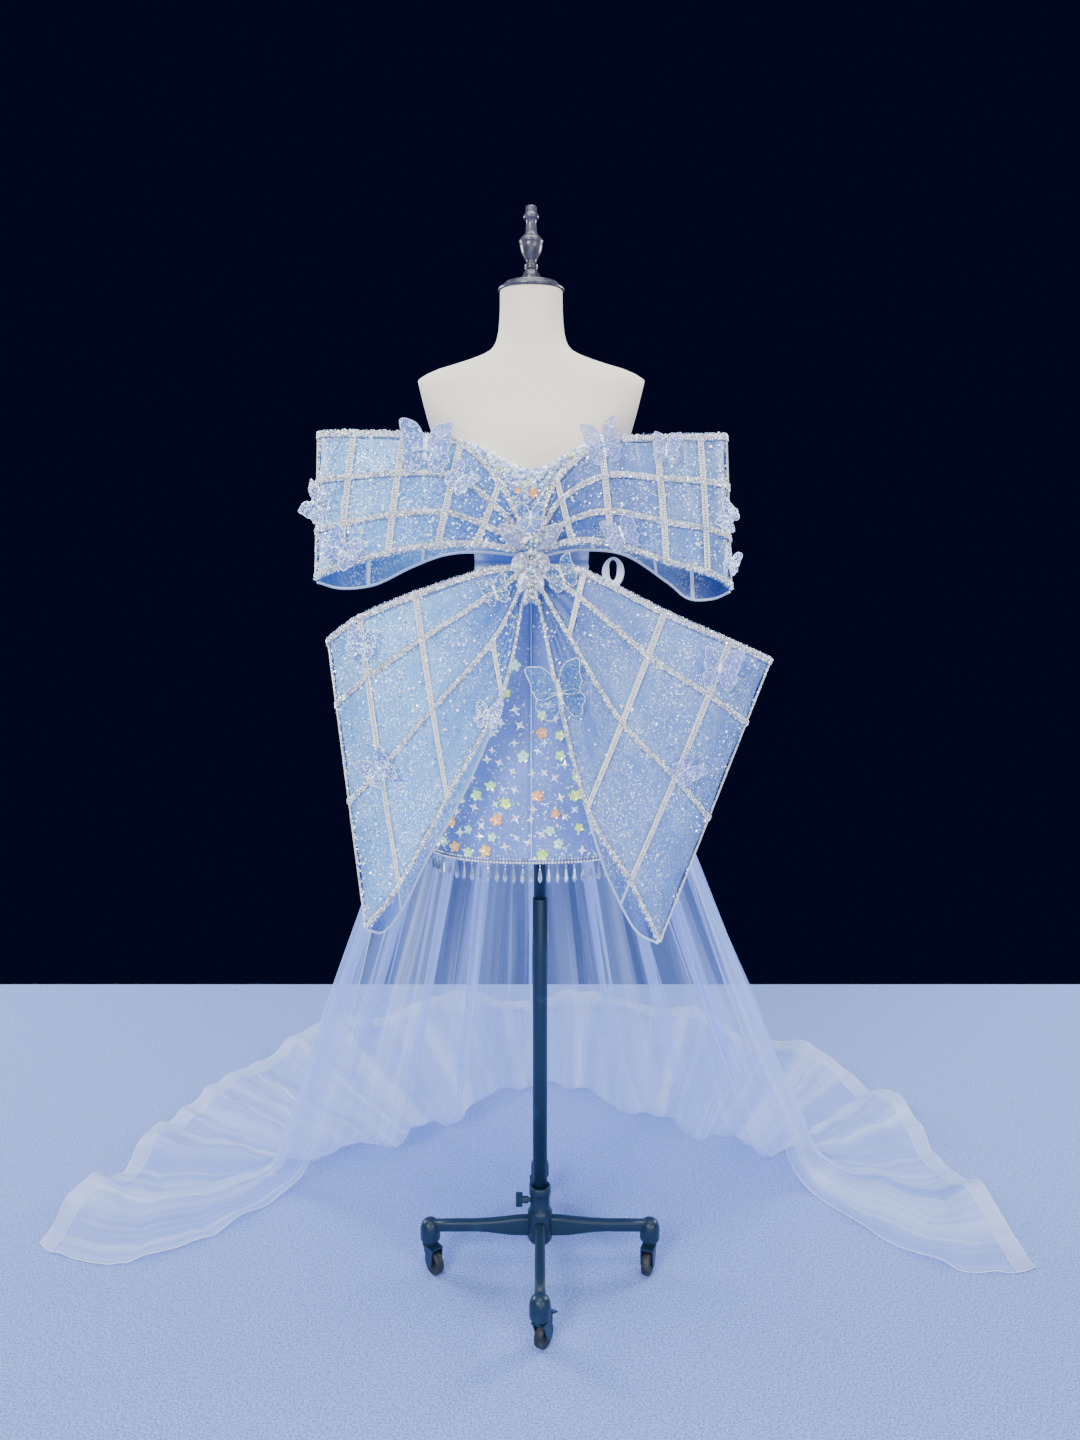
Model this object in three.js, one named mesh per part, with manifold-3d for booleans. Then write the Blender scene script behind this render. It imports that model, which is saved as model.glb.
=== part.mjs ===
// A strapless mini prom dress with a boned organza bow and a tulle train, on a dress form.
// Millimetres, +Z up. The front faces -Y and the wearer's right side is at -X.
// Everything is modelled about the pole's axis, then moved so that the middle of the footprint
// on the floor is the origin.
import * as THREE from "three";
import { mergeVertices } from "three/addons/utils/BufferGeometryUtils.js";
import Module from "manifold-3d";

const wasm = await Module();
wasm.setup();

// ---------------------------------------------------------------- driving dimensions
const seamGap = 0.3; // between pieces that are sewn together
const clothWall = 1.6; // dress, loops and train
const formClearance = 0.95; // between the form and the dress
const formAxisX = -14; // the form stands a little off its pole
const roundness = 2.3; // exponent of the body's oval sections
const bodyAngles = 36; // facets round the body
const waistZ = 1290;
const skirtHipZ = 1090; // the skirt follows the form down to here, then flares
const hemZ = 812;
const hem = { halfWidth: 176, front: 127, back: 122 };
const formBottomZ = 862;
const fringeLength = 26;
const fringeWall = 4;
const bustBump = { height: 10, z: 1438, angle: 30, spreadZ: 42, spreadAngle: 19 };
const zip = { halfWidth: 7, topZ: 1436, bottomZ: 1150, pointZ: 1100, pointHalfWidth: 1.2 };
const armCut = { x: 180, z: 1590, slope: 0.2545, plate: 4 }; // x grows by slope for each mm of z
// The train's waist tape, from one side round the back to the other.
const tape = { height: 20, wall: 1.8, startAngle: 100, gap: 0.5 };
const band = { topZ: 1366, bottomZ: 1228, frontY: -166 };
const rib = { width: 10, wall: 2.2, lift: 1.1 };
const binding = { height: 5, wall: 3 };
const trainPleats = 10;
const columnsPerPleat = 4;
const trainFlare = 1.12; // 1 would be a straight fall from the hip to the floor
const crinWall = 1.0;
const castorCircle = 201.5;
const wheel = { radius: 22, halfWidth: 8, bore: 3.4, axle: 3.1, trail: 12, facets: 16 };
const hub = { radius: 22.5, bottomZ: 59, topZ: 169, socketZ: 100 };
const poleLower = { radius: 13, topZ: 712 };
const poleUpper = { radius: 11, topZ: 853.4 };
const neckCapHeight = 16;
const leg = { width: 18, topZ: 98, bottomZ: 80, kneeX: 60, ankleX: 150 };
const clampScrew = { z: 140, radius: 4, clearance: 0.4, headFrom: 21, headTo: 33, wing: 26 };
const castor = { plateZ: 50, plateWall: 3.5, cheek: 2.5, cheekOut: 12, stemRadius: 9 };
const slider = { width: 9, depth: 4, height: 11, lugWidth: 3.4, lugDepth: 2.2, lugHeight: 5 };
const pull = { width: 5, wall: 1.4, height: 24, neckWidth: 3, neckHeight: 4, offset: 6.6 };

// The form's sections, from its neck to its base: half width, and how far the oval reaches
// forward and back of the form's own axis.
const formSections = [
  { z: 1719, halfWidth: 50, front: 50, back: 50 },
  { z: 1680, halfWidth: 51, front: 51, back: 51 },
  { z: 1642, halfWidth: 57, front: 55, back: 56 },
  { z: 1624, halfWidth: 72, front: 58, back: 62 },
  { z: 1609, halfWidth: 112, front: 61, back: 72 },
  { z: 1595, halfWidth: 160, front: 64, back: 82 },
  { z: 1578, halfWidth: 187, front: 70, back: 90 },
  { z: 1555, halfWidth: 188, front: 78, back: 95 },
  { z: 1530, halfWidth: 181, front: 88, back: 98 },
  { z: 1500, halfWidth: 164, front: 101, back: 98 },
  { z: 1470, halfWidth: 148, front: 108, back: 95 },
  { z: 1440, halfWidth: 139, front: 109, back: 91 },
  { z: 1400, halfWidth: 126, front: 104, back: 86 },
  { z: 1360, halfWidth: 111, front: 95, back: 82 },
  { z: 1322, halfWidth: 96, front: 86, back: 79 },
  { z: 1290, halfWidth: 92, front: 82, back: 79 },
  { z: 1260, halfWidth: 97, front: 85, back: 84 },
  { z: 1225, halfWidth: 113, front: 92, back: 93 },
  { z: 1185, halfWidth: 134, front: 99, back: 103 },
  { z: 1140, halfWidth: 151, front: 104, back: 112 },
  { z: 1090, halfWidth: 161, front: 106, back: 116 },
  { z: 1020, halfWidth: 163, front: 107, back: 113 },
  { z: 950, halfWidth: 161, front: 106, back: 107 },
  { z: 890, halfWidth: 154, front: 101, back: 100 },
  { z: 870, halfWidth: 146, front: 95, back: 94 },
  { z: 862, halfWidth: 130, front: 84, back: 83 },
];

// Heights of the form's rings of facets. Those from the bust to the waist are the bodice's too.
const formRings = [
  1719, 1680, 1642, 1624, 1609, 1595, 1578, 1555, 1530, 1502, 1475, 1447, 1420, 1400, 1365, 1330,
  1306, 1290, 1269, 1240, 1200, 1150, 1100, 1010, 880, 862,
];
const bodiceRings = [1420, 1400, 1365, 1330, 1306];
const skirtRings = [1269, 1240, 1200, 1150, 1100, 1010, 910];

// How high the bodice's top edge runs, by the angle from the centre front.
const neckline = [
  { angle: 0, z: 1431 },
  { angle: 10, z: 1441 },
  { angle: 25, z: 1463 },
  { angle: 40, z: 1476 },
  { angle: 60, z: 1477 },
  { angle: 90, z: 1470 },
  { angle: 130, z: 1452 },
  { angle: 180, z: 1440 },
];

// The four loops of the bow. A row is a line across the loop, from its top edge to its bottom
// edge; y is how far forward it stands, and cross says which cross rib follows it. The last
// row of a front is the outer fold, where its back begins.
const loops = {
  upper_left: {
    ribsAt: [0, 1 / 3, 2 / 3, 1],
    bulge: 9,
    front: [
      { topX: -34, topZ: 1357, bottomX: -34, bottomZ: 1305, y: -150, cross: "none" },
      { topX: -60, topZ: 1411, bottomX: -98, bottomZ: 1315, y: -168, cross: "full" },
      { topX: -116, topZ: 1466, bottomX: -153, bottomZ: 1313, y: -186, cross: "full" },
      { topX: -197, topZ: 1477, bottomX: -225, bottomZ: 1302, y: -193, cross: "full" },
      { topX: -270, topZ: 1480, bottomX: -296, bottomZ: 1281, y: -187, cross: "full" },
      { topX: -318, topZ: 1483, bottomX: -331, bottomZ: 1269, y: -160, cross: "none" },
      { topX: -335, topZ: 1485, bottomX: -346, bottomZ: 1264, y: -118, cross: "edge" },
    ],
    back: [
      { topX: -335, topZ: 1484, bottomX: -346, bottomZ: 1262, y: -117.6 },
      { topX: -310, topZ: 1480, bottomX: -314, bottomZ: 1252, y: -88 },
      { topX: -250, topZ: 1476, bottomX: -262, bottomZ: 1258, y: -84 },
      { topX: -180, topZ: 1471, bottomX: -200, bottomZ: 1286, y: -102 },
      { topX: -112, topZ: 1460, bottomX: -146, bottomZ: 1304, y: -132 },
      { topX: -60, topZ: 1405, bottomX: -92, bottomZ: 1308, y: -141 },
      { topX: -34, topZ: 1355, bottomX: -34, bottomZ: 1303, y: -137 },
    ],
  },
  upper_right: {
    ribsAt: [0, 1 / 3, 2 / 3, 1],
    bulge: 9,
    front: [
      { topX: 6, topZ: 1357, bottomX: 6, bottomZ: 1305, y: -150, cross: "none" },
      { topX: 26, topZ: 1416, bottomX: 50, bottomZ: 1319, y: -168, cross: "full" },
      { topX: 90, topZ: 1466, bottomX: 107, bottomZ: 1315, y: -186, cross: "full" },
      { topX: 168, topZ: 1473, bottomX: 188, bottomZ: 1289, y: -193, cross: "full" },
      { topX: 232, topZ: 1475, bottomX: 248, bottomZ: 1273, y: -187, cross: "full" },
      { topX: 268, topZ: 1479, bottomX: 281, bottomZ: 1256, y: -160, cross: "none" },
      { topX: 281, topZ: 1482, bottomX: 295, bottomZ: 1249, y: -118, cross: "edge" },
    ],
    back: [
      { topX: 281, topZ: 1481, bottomX: 295, bottomZ: 1247, y: -117.6 },
      { topX: 262, topZ: 1478, bottomX: 272, bottomZ: 1235, y: -90 },
      { topX: 216, topZ: 1474, bottomX: 236, bottomZ: 1236, y: -86 },
      { topX: 166, topZ: 1470, bottomX: 200, bottomZ: 1262, y: -100 },
      { topX: 104, topZ: 1461, bottomX: 130, bottomZ: 1304, y: -132 },
      { topX: 36, topZ: 1408, bottomX: 60, bottomZ: 1311, y: -141 },
      { topX: 6, topZ: 1355, bottomX: 6, bottomZ: 1303, y: -137 },
    ],
  },
  lower_left: {
    ribsAt: [0, 0.22, 0.55, 1],
    bulge: 12,
    front: [
      { topX: -33.3, topZ: 1289, bottomX: -28, bottomZ: 1229, y: -150, cross: "none" },
      { topX: -89, topZ: 1279, bottomX: -60, bottomZ: 1089, y: -178, cross: "lower" },
      { topX: -185, topZ: 1247, bottomX: -142, bottomZ: 932, y: -198, cross: "full" },
      { topX: -268, topZ: 1213, bottomX: -217, bottomZ: 794, y: -194, cross: "full" },
      { topX: -314, topZ: 1182, bottomX: -266, bottomZ: 722, y: -166, cross: "none" },
      { topX: -328, topZ: 1171, bottomX: -281, bottomZ: 704, y: -125, cross: "edge" },
    ],
    back: [
      { topX: -328, topZ: 1170, bottomX: -281, bottomZ: 700, y: -124.6 },
      { topX: -306, topZ: 1179, bottomX: -257, bottomZ: 690, y: -103 },
      { topX: -262, topZ: 1198, bottomX: -222, bottomZ: 738, y: -106 },
      { topX: -195, topZ: 1226, bottomX: -186, bottomZ: 812, y: -126 },
      { topX: -115, topZ: 1257, bottomX: -112, bottomZ: 950, y: -141 },
      { topX: -62, topZ: 1277, bottomX: -54, bottomZ: 1098, y: -142 },
      { topX: -33.3, topZ: 1287, bottomX: -28, bottomZ: 1231, y: -137 },
    ],
  },
  lower_right: {
    ribsAt: [0, 0.22, 0.55, 1],
    bulge: 12,
    front: [
      { topX: 5.3, topZ: 1289, bottomX: 0, bottomZ: 1229, y: -150, cross: "none" },
      { topX: 67, topZ: 1279, bottomX: 27, bottomZ: 1101, y: -178, cross: "upper" },
      { topX: 186, topZ: 1220, bottomX: 72, bottomZ: 917, y: -198, cross: "full" },
      { topX: 284, topZ: 1177, bottomX: 138, bottomZ: 800, y: -194, cross: "full" },
      { topX: 344, topZ: 1150, bottomX: 180, bottomZ: 706, y: -166, cross: "none" },
      { topX: 359, topZ: 1142, bottomX: 193, bottomZ: 681, y: -125, cross: "edge" },
    ],
    back: [
      { topX: 359, topZ: 1141, bottomX: 193, bottomZ: 677, y: -124.6 },
      { topX: 334, topZ: 1150, bottomX: 160, bottomZ: 690, y: -103 },
      { topX: 282, topZ: 1172, bottomX: 127, bottomZ: 750, y: -106 },
      { topX: 205, topZ: 1206, bottomX: 96, bottomZ: 830, y: -126 },
      { topX: 112, topZ: 1248, bottomX: 58, bottomZ: 962, y: -141 },
      { topX: 45, topZ: 1275, bottomX: 21, bottomZ: 1112, y: -142 },
      { topX: 5.3, topZ: 1287, bottomX: 0, bottomZ: 1231, y: -137 },
    ],
  },
};
const frontSteps = 2; // columns of facets between two rows of a loop's front
const backSteps = 1;

// The train, from side to side round the back. u is the share of the way round; floor is where
// a line of cloth comes down to the floor, hem where it ends, and curve how far the middle of
// what lies on the floor bends away from straight.
const trainLines = [
  { u: 0.0, floorX: -500, floorY: 264, hemX: -957, hemY: 70, curveY: -140 },
  { u: 0.1, floorX: -560, floorY: 330, hemX: -890, hemY: 290, curveY: -40 },
  { u: 0.2, floorX: -470, floorY: 340, hemX: -845, hemY: 520, curveY: 0 },
  { u: 0.3, floorX: -315, floorY: 374, hemX: -715, hemY: 790, curveY: 0 },
  { u: 0.4, floorX: -195, floorY: 450, hemX: -460, hemY: 1050, curveY: 0 },
  { u: 0.5, floorX: -10, floorY: 630, hemX: -30, hemY: 1155, curveY: 0 },
  { u: 0.6, floorX: 205, floorY: 500, hemX: 300, hemY: 1135, curveY: 0 },
  { u: 0.7, floorX: 350, floorY: 400, hemX: 570, hemY: 925, curveY: 0 },
  { u: 0.8, floorX: 480, floorY: 345, hemX: 800, hemY: 660, curveY: 0 },
  { u: 0.9, floorX: 605, floorY: 335, hemX: 870, hemY: 340, curveY: -30 },
  { u: 1.0, floorX: 545, floorY: 264, hemX: 917, hemY: 3, curveY: -115 },
];
// Rows of the train down its length: height while it hangs, then the share of the way from
// where it meets the floor to the hem; pleat is how far a pleat stands out there.
const trainRows = [
  { z: 1269, lift: 3.3, pleat: 0 },
  { z: 1240, lift: 8, pleat: 1 },
  { z: 1190, lift: 13, pleat: 2 },
  { z: 1085, lift: 16, pleat: 6 },
  { z: 900, pleat: 14 },
  { z: 690, pleat: 22 },
  { z: 480, pleat: 28 },
  { z: 280, pleat: 32 },
  { z: 120, pleat: 34 },
  { z: 34, pleat: 32 },
  { along: 0.06, pleat: 30 },
  { along: 0.3, pleat: 24 },
  { along: 0.62, pleat: 22 },
  { along: 0.92, pleat: 34 },
  { along: 1.0, pleat: 36 },
];
const crinFirstRow = 13; // the crin band lies between this row and the hem

// Where the butterflies are sewn: a loop, the share of the way out, the share of the way down,
// wing span, turn about the panel's normal, and how far the wings are raised.
const butterflies = [
  { loop: "upper_left", out: 0.42, down: 0.05, span: 92, turn: 10, raise: 26 },
  { loop: "upper_left", out: 0.33, down: 0.33, span: 46, turn: -30, raise: 24 },
  { loop: "upper_right", out: 0.3, down: 0.05, span: 58, turn: 15, raise: 30 },
  { loop: "upper_right", out: 0.5, down: 0.14, span: 48, turn: -12, raise: 26 },
  { loop: "upper_right", out: 0.34, down: 0.86, span: 46, turn: 20, raise: 26 },
  { loop: "lower_left", out: 0.6, down: 0.1, span: 46, turn: -20, raise: 22 },
  { loop: "lower_left", out: 0.6, down: 0.55, span: 46, turn: 30, raise: 22 },
  { loop: "lower_right", out: 0.6, down: 0.12, span: 48, turn: 14, raise: 26 },
];

// ---------------------------------------------------------------- colours
const finishes = {
  jersey: { color: 0xe9e0d2, roughness: 0.85, metalness: 0 },
  darkMetal: { color: 0x3c3733, roughness: 0.35, metalness: 0.7 },
  standPaint: { color: 0x0b2238, roughness: 0.4, metalness: 0.2 },
  wheelRubber: { color: 0x15181c, roughness: 0.6, metalness: 0 },
  steel: { color: 0xb8bcc2, roughness: 0.25, metalness: 1 },
  sequinSatin: { color: 0xb5c6e8, roughness: 0.3, metalness: 0.3 },
  organza: { color: 0x9fc0ea, roughness: 0.4, metalness: 0.1 },
  beadTrim: { color: 0xe3e0dc, roughness: 0.25, metalness: 0.4 },
  satin: { color: 0xc7d6ee, roughness: 0.35, metalness: 0 },
  crystal: { color: 0xdfe6f2, roughness: 0.1, metalness: 0.3 },
  tulle: { color: 0xdfe2f6, roughness: 0.7, metalness: 0 },
};

const model = new THREE.Group();

function addPiece(name, geometry, finish, parent = model) {
  const mesh = new THREE.Mesh(geometry, new THREE.MeshStandardMaterial(finishes[finish]));
  mesh.name = name;
  parent.add(mesh);
  return mesh;
}

// ---------------------------------------------------------------- small tools
const degrees = Math.PI / 180;
const vec = (x, y, z) => new THREE.Vector3(x, y, z);
const mix = (a, b, share) => a + (b - a) * share;

// A smooth curve through a table's rows: the value of a column where key has the value at.
function along(rows, key, column, at) {
  const rising = rows[rows.length - 1][key] > rows[0][key];
  const sign = rising ? 1 : -1;
  let i = 0;
  while (i < rows.length - 2 && sign * at > sign * rows[i + 1][key]) i += 1;
  const slope = (j) => {
    const before = rows[Math.max(j - 1, 0)];
    const after = rows[Math.min(j + 1, rows.length - 1)];
    return (after[column] - before[column]) / (after[key] - before[key]);
  };
  const width = rows[i + 1][key] - rows[i][key];
  const share = Math.min(Math.max((at - rows[i][key]) / width, 0), 1);
  const share2 = share * share;
  const share3 = share2 * share;
  return (
    (2 * share3 - 3 * share2 + 1) * rows[i][column] +
    (share3 - 2 * share2 + share) * width * slope(i) +
    (3 * share2 - 2 * share3) * rows[i + 1][column] +
    (share3 - share2) * width * slope(i + 1)
  );
}

function geometryFrom(points, triangles) {
  const geometry = new THREE.BufferGeometry();
  geometry.setAttribute(
    "position",
    new THREE.Float32BufferAttribute(points.flatMap((p) => [p.x, p.y, p.z]), 3),
  );
  geometry.setIndex(triangles);
  return geometry;
}

// Normals of a grid of points, from its neighbours along both directions.
function gridNormals(grid) {
  const last = grid.length - 1;
  return grid.map((row, i) =>
    row.map((point, j) => {
      const before = grid[Math.max(i - 1, 0)][j];
      const after = grid[Math.min(i + 1, last)][j];
      const left = row[Math.max(j - 1, 0)];
      const right = row[Math.min(j + 1, row.length - 1)];
      return after.clone().sub(before).cross(right.clone().sub(left)).normalize();
    }),
  );
}

// A closed wall between two grids of points: inner, and outer on the side its normals face.
function wallBetween(inner, outer) {
  const columns = inner.length;
  const rows = inner[0].length;
  const points = [...outer.flat(), ...inner.flat()];
  const out = (i, j) => i * rows + j;
  const inn = (i, j) => columns * rows + i * rows + j;
  const triangles = [];
  const quad = (a, b, c, d) => triangles.push(a, b, c, a, c, d);
  for (let i = 0; i < columns - 1; i += 1) {
    for (let j = 0; j < rows - 1; j += 1) {
      quad(out(i, j), out(i + 1, j), out(i + 1, j + 1), out(i, j + 1));
      quad(inn(i, j), inn(i, j + 1), inn(i + 1, j + 1), inn(i + 1, j));
    }
    quad(inn(i, 0), inn(i + 1, 0), out(i + 1, 0), out(i, 0));
    quad(out(i, rows - 1), out(i + 1, rows - 1), inn(i + 1, rows - 1), inn(i, rows - 1));
  }
  for (let j = 0; j < rows - 1; j += 1) {
    quad(out(0, j), out(0, j + 1), inn(0, j + 1), inn(0, j));
    quad(inn(columns - 1, j), inn(columns - 1, j + 1), out(columns - 1, j + 1), out(columns - 1, j));
  }
  return geometryFrom(points, triangles);
}

// The same wall from one grid, moved out along its normals by lift, and wall thick.
function wallOn(grid, lift, wall, normals = gridNormals(grid)) {
  const moved = (distance) =>
    grid.map((row, i) =>
      row.map((point, j) => point.clone().addScaledVector(normals[i][j], distance)),
    );
  return wallBetween(moved(lift), moved(lift + wall));
}

// A solid through closed rings of points that run anticlockwise seen from the first ring's end.
function solidThrough(rings) {
  const count = rings[0].length;
  const middle = (ring) =>
    ring.reduce((sum, p) => sum.add(p), vec(0, 0, 0)).divideScalar(ring.length);
  const points = [...rings.flat(), middle(rings[0]), middle(rings[rings.length - 1])];
  const top = rings.length * count;
  const triangles = [];
  for (let k = 0; k < count; k += 1) {
    const next = (k + 1) % count;
    for (let i = 0; i < rings.length - 1; i += 1) {
      const a = i * count + k;
      const b = i * count + next;
      triangles.push(a, a + count, b + count, a, b + count, b);
    }
    const end = (rings.length - 1) * count;
    triangles.push(top, k, next, top + 1, end + next, end + k);
  }
  return geometryFrom(points, triangles);
}

function toManifold(geometry) {
  const bare = geometry.clone();
  bare.deleteAttribute("normal");
  bare.deleteAttribute("uv");
  const merged = mergeVertices(bare, 1e-3);
  return new wasm.Manifold(
    new wasm.Mesh({
      numProp: 3,
      vertProperties: new Float32Array(merged.attributes.position.array),
      triVerts: new Uint32Array(merged.index.array),
    }),
  );
}

function fromManifold(solid) {
  const mesh = solid.getMesh();
  const geometry = new THREE.BufferGeometry();
  geometry.setAttribute("position", new THREE.Float32BufferAttribute(mesh.vertProperties, 3));
  geometry.setIndex([...mesh.triVerts]);
  return geometry;
}

function joined(geometries) {
  const solids = geometries.map(toManifold);
  return fromManifold(solids.slice(1).reduce((whole, solid) => whole.add(solid), solids[0]));
}

function cut(geometry, tools) {
  return fromManifold(
    tools.map(toManifold).reduce((whole, tool) => whole.subtract(tool), toManifold(geometry)),
  );
}

function boxAt(width, depth, height, x, y, z) {
  return new THREE.BoxGeometry(width, depth, height).translate(x, y, z);
}

// A turned piece about +Z: its profile's points are radius and height, from axis to axis.
function turned(profile, facets) {
  const outline = profile.map(([radius, z]) => new THREE.Vector2(radius, z));
  return new THREE.LatheGeometry(outline, facets).rotateX(Math.PI / 2);
}

function rod(radius, fromZ, toZ, facets = 16) {
  return new THREE.CylinderGeometry(radius, radius, toZ - fromZ, facets)
    .rotateX(Math.PI / 2)
    .translate(0, 0, (fromZ + toZ) / 2);
}

// ---------------------------------------------------------------- the body's surface
function sectionAt(z) {
  return {
    halfWidth: along(formSections, "z", "halfWidth", z),
    front: along(formSections, "z", "front", z),
    back: along(formSections, "z", "back", z),
  };
}

// The dress follows the form to the hip and then flares to its hem.
function dressSectionAt(z) {
  if (z >= skirtHipZ) return sectionAt(z);
  const hip = sectionAt(skirtHipZ);
  const share = (skirtHipZ - z) / (skirtHipZ - hemZ);
  return {
    halfWidth: mix(hip.halfWidth, hem.halfWidth, share),
    front: mix(hip.front, hem.front, share),
    back: mix(hip.back, hem.back, share),
  };
}

// A point on an oval section, by its angle from the centre front towards +X.
function ovalPoint(section, angle, z) {
  const power = 2 / roundness;
  const sine = Math.sin(angle * degrees);
  const cosine = Math.cos(angle * degrees);
  const reach = cosine > 0 ? section.front : section.back;
  const x = Math.sign(sine) * Math.abs(sine) ** power * section.halfWidth;
  const y = -Math.sign(cosine) * Math.abs(cosine) ** power * reach;
  const side = ((((angle + 180) % 360) + 360) % 360) - 180;
  const offAngle = (Math.abs(side) - bustBump.angle) / bustBump.spreadAngle;
  const offHeight = (z - bustBump.z) / bustBump.spreadZ;
  const bump = bustBump.height * Math.exp(-(offAngle ** 2) - offHeight ** 2);
  return vec(formAxisX + x, y - bump, z);
}

function surfacePoint(sectionOf, angle, z, lift) {
  const step = 0.5;
  const point = ovalPoint(sectionOf(z), angle, z);
  if (lift === 0) return point;
  const round = ovalPoint(sectionOf(z), angle + step, z).sub(
    ovalPoint(sectionOf(z), angle - step, z),
  );
  const up = ovalPoint(sectionOf(z + 2), angle, z + 2).sub(ovalPoint(sectionOf(z - 2), angle, z - 2));
  return point.addScaledVector(round.cross(up).normalize(), lift);
}

const dressPoint = (angle, z, lift) => surfacePoint(dressSectionAt, angle, z, lift);

// The angle at which the dress's surface is a given distance from the centre line.
function angleOff(distance, z) {
  const share = distance / dressSectionAt(z).halfWidth;
  return Math.asin(share ** (roundness / 2)) / degrees;
}

// ---------------------------------------------------------------- form and stand
function formBlank() {
  const rings = formRings.map((z) =>
    Array.from({ length: bodyAngles }, (_, k) => ovalPoint(sectionAt(z), (k * 360) / bodyAngles, z)),
  );
  return solidThrough(rings);
}

// A slab standing outside the arm's cut plane, from near to far mm away from it.
function armSlab(side, near, far) {
  const tilt = Math.atan(armCut.slope);
  return boxAt(far - near, 400, 400, (near + far) / 2, 0, 0)
    .rotateY(tilt)
    .translate(armCut.x, 0, armCut.z)
    .scale(side, 1, 1)
    .translate(formAxisX, 0, 0);
}

function mirroredOut(geometry, side) {
  if (side > 0) return geometry;
  const flipped = geometry.clone();
  const index = [...flipped.index.array];
  for (let i = 0; i < index.length; i += 3) [index[i], index[i + 1]] = [index[i + 1], index[i]];
  flipped.setIndex(index);
  return flipped;
}

function addForm() {
  const blank = formBlank();
  const slabs = [-1, 1].map((side) => mirroredOut(armSlab(side, 0, 120), side));
  addPiece("form_torso", cut(blank, slabs), "jersey");
  [-1, 1].forEach((side) => {
    const slab = mirroredOut(armSlab(side, seamGap, seamGap + armCut.plate), side);
    const plate = toManifold(blank).intersect(toManifold(slab));
    addPiece(`form_arm_plate_${side < 0 ? "left" : "right"}`, fromManifold(plate), "jersey");
  });
  const neckTop = formSections[0].z + seamGap;
  const cap = [
    [0, 0], [51, 0], [53, 2], [53, 5], [46, 8.6], [44, 12.4], [36, 14.6], [14, neckCapHeight],
    [0, neckCapHeight],
  ];
  addPiece("form_neck_cap", turned(cap, 24).translate(formAxisX, 0, neckTop), "darkMetal");
  const finial = [
    [0, 0], [14, 0], [15, 5], [12.6, 13], [9.4, 17], [10.6, 20], [10.4, 25.4], [7.8, 29],
    [9, 32], [15.6, 44], [18.2, 56], [19.4, 61], [16.4, 66], [11.4, 70.6], [9, 75.4], [8, 92],
    [12, 96], [12.2, 99.4], [9.4, 104], [8.8, 113.7], [0, 113.7],
  ];
  addPiece(
    "form_finial",
    turned(finial, 16).translate(formAxisX, 0, neckTop + neckCapHeight + seamGap),
    "darkMetal",
  );
  addPiece(
    "form_base_flange",
    turned([[0, 0], [20, 0], [38, 4], [38, 8], [0, 8]], 24).translate(0, 0, formBottomZ - seamGap - 8),
    "darkMetal",
  );
}

function addStand() {
  addPiece(
    "pole_upper",
    rod(poleUpper.radius, poleLower.topZ + seamGap, poleUpper.topZ, 20),
    "standPaint",
  );
  addPiece(
    "pole_lower",
    rod(poleLower.radius, hub.socketZ + seamGap, poleLower.topZ, 20),
    "standPaint",
  );
  const hubShape = turned(
    [
      [0, hub.bottomZ], [15, hub.bottomZ], [hub.radius, hub.bottomZ + 8], [hub.radius, 118],
      [17.5, 126], [17.5, 150], [19.5, 153], [19.5, hub.topZ], [0, hub.topZ],
    ],
    16,
  );
  const legOutline = new THREE.Shape();
  legOutline.moveTo(8, leg.bottomZ - 8);
  legOutline.lineTo(8, leg.topZ + 10);
  legOutline.lineTo(leg.kneeX, leg.topZ + 6);
  legOutline.quadraticCurveTo(2 * leg.kneeX, leg.topZ, leg.ankleX, leg.topZ + 1);
  legOutline.lineTo(castorCircle, leg.topZ);
  legOutline.lineTo(castorCircle, leg.bottomZ);
  legOutline.lineTo(leg.ankleX, leg.bottomZ);
  legOutline.quadraticCurveTo(100, leg.bottomZ + 2, leg.kneeX, leg.bottomZ - 6);
  const cup = [[0, 62], [17, 62], [18, 64], [18, 84], [15, 95], [8, 101], [0, 103]];
  const parts = [hubShape];
  for (let k = 0; k < 4; k += 1) {
    const arm = new THREE.ExtrudeGeometry(legOutline, {
      depth: leg.width,
      bevelEnabled: false,
      curveSegments: 3,
    })
      .translate(0, 0, -leg.width / 2)
      .rotateX(Math.PI / 2)
      .rotateZ((k * Math.PI) / 2);
    const reach = new THREE.Vector3(castorCircle, 0, 0).applyAxisAngle(vec(0, 0, 1), (k * Math.PI) / 2);
    parts.push(arm, turned(cup, 12).translate(reach.x, reach.y, 0));
  }
  const socket = rod(poleLower.radius + seamGap, hub.socketZ, hub.topZ + 5, 20);
  const { z, radius, clearance, headFrom, headTo } = clampScrew;
  const across = (solid) => solid.rotateY(-Math.PI / 2).translate(0, 0, z);
  const screwHole = across(rod(radius + clearance, poleLower.radius + 0.5, 40, 12));
  addPiece("stand_base", cut(joined(parts), [socket, screwHole]), "standPaint");
  const stem = rod(radius, poleLower.radius + 1, headTo, 12);
  const wing = boxAt(clampScrew.wing, 6, 12, 0, 0, headTo + 5);
  const collar = rod(radius + 2.5, headFrom, headTo, 12);
  addPiece("height_clamp_screw", across(joined([stem, collar, wing])), "standPaint");
}

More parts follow.
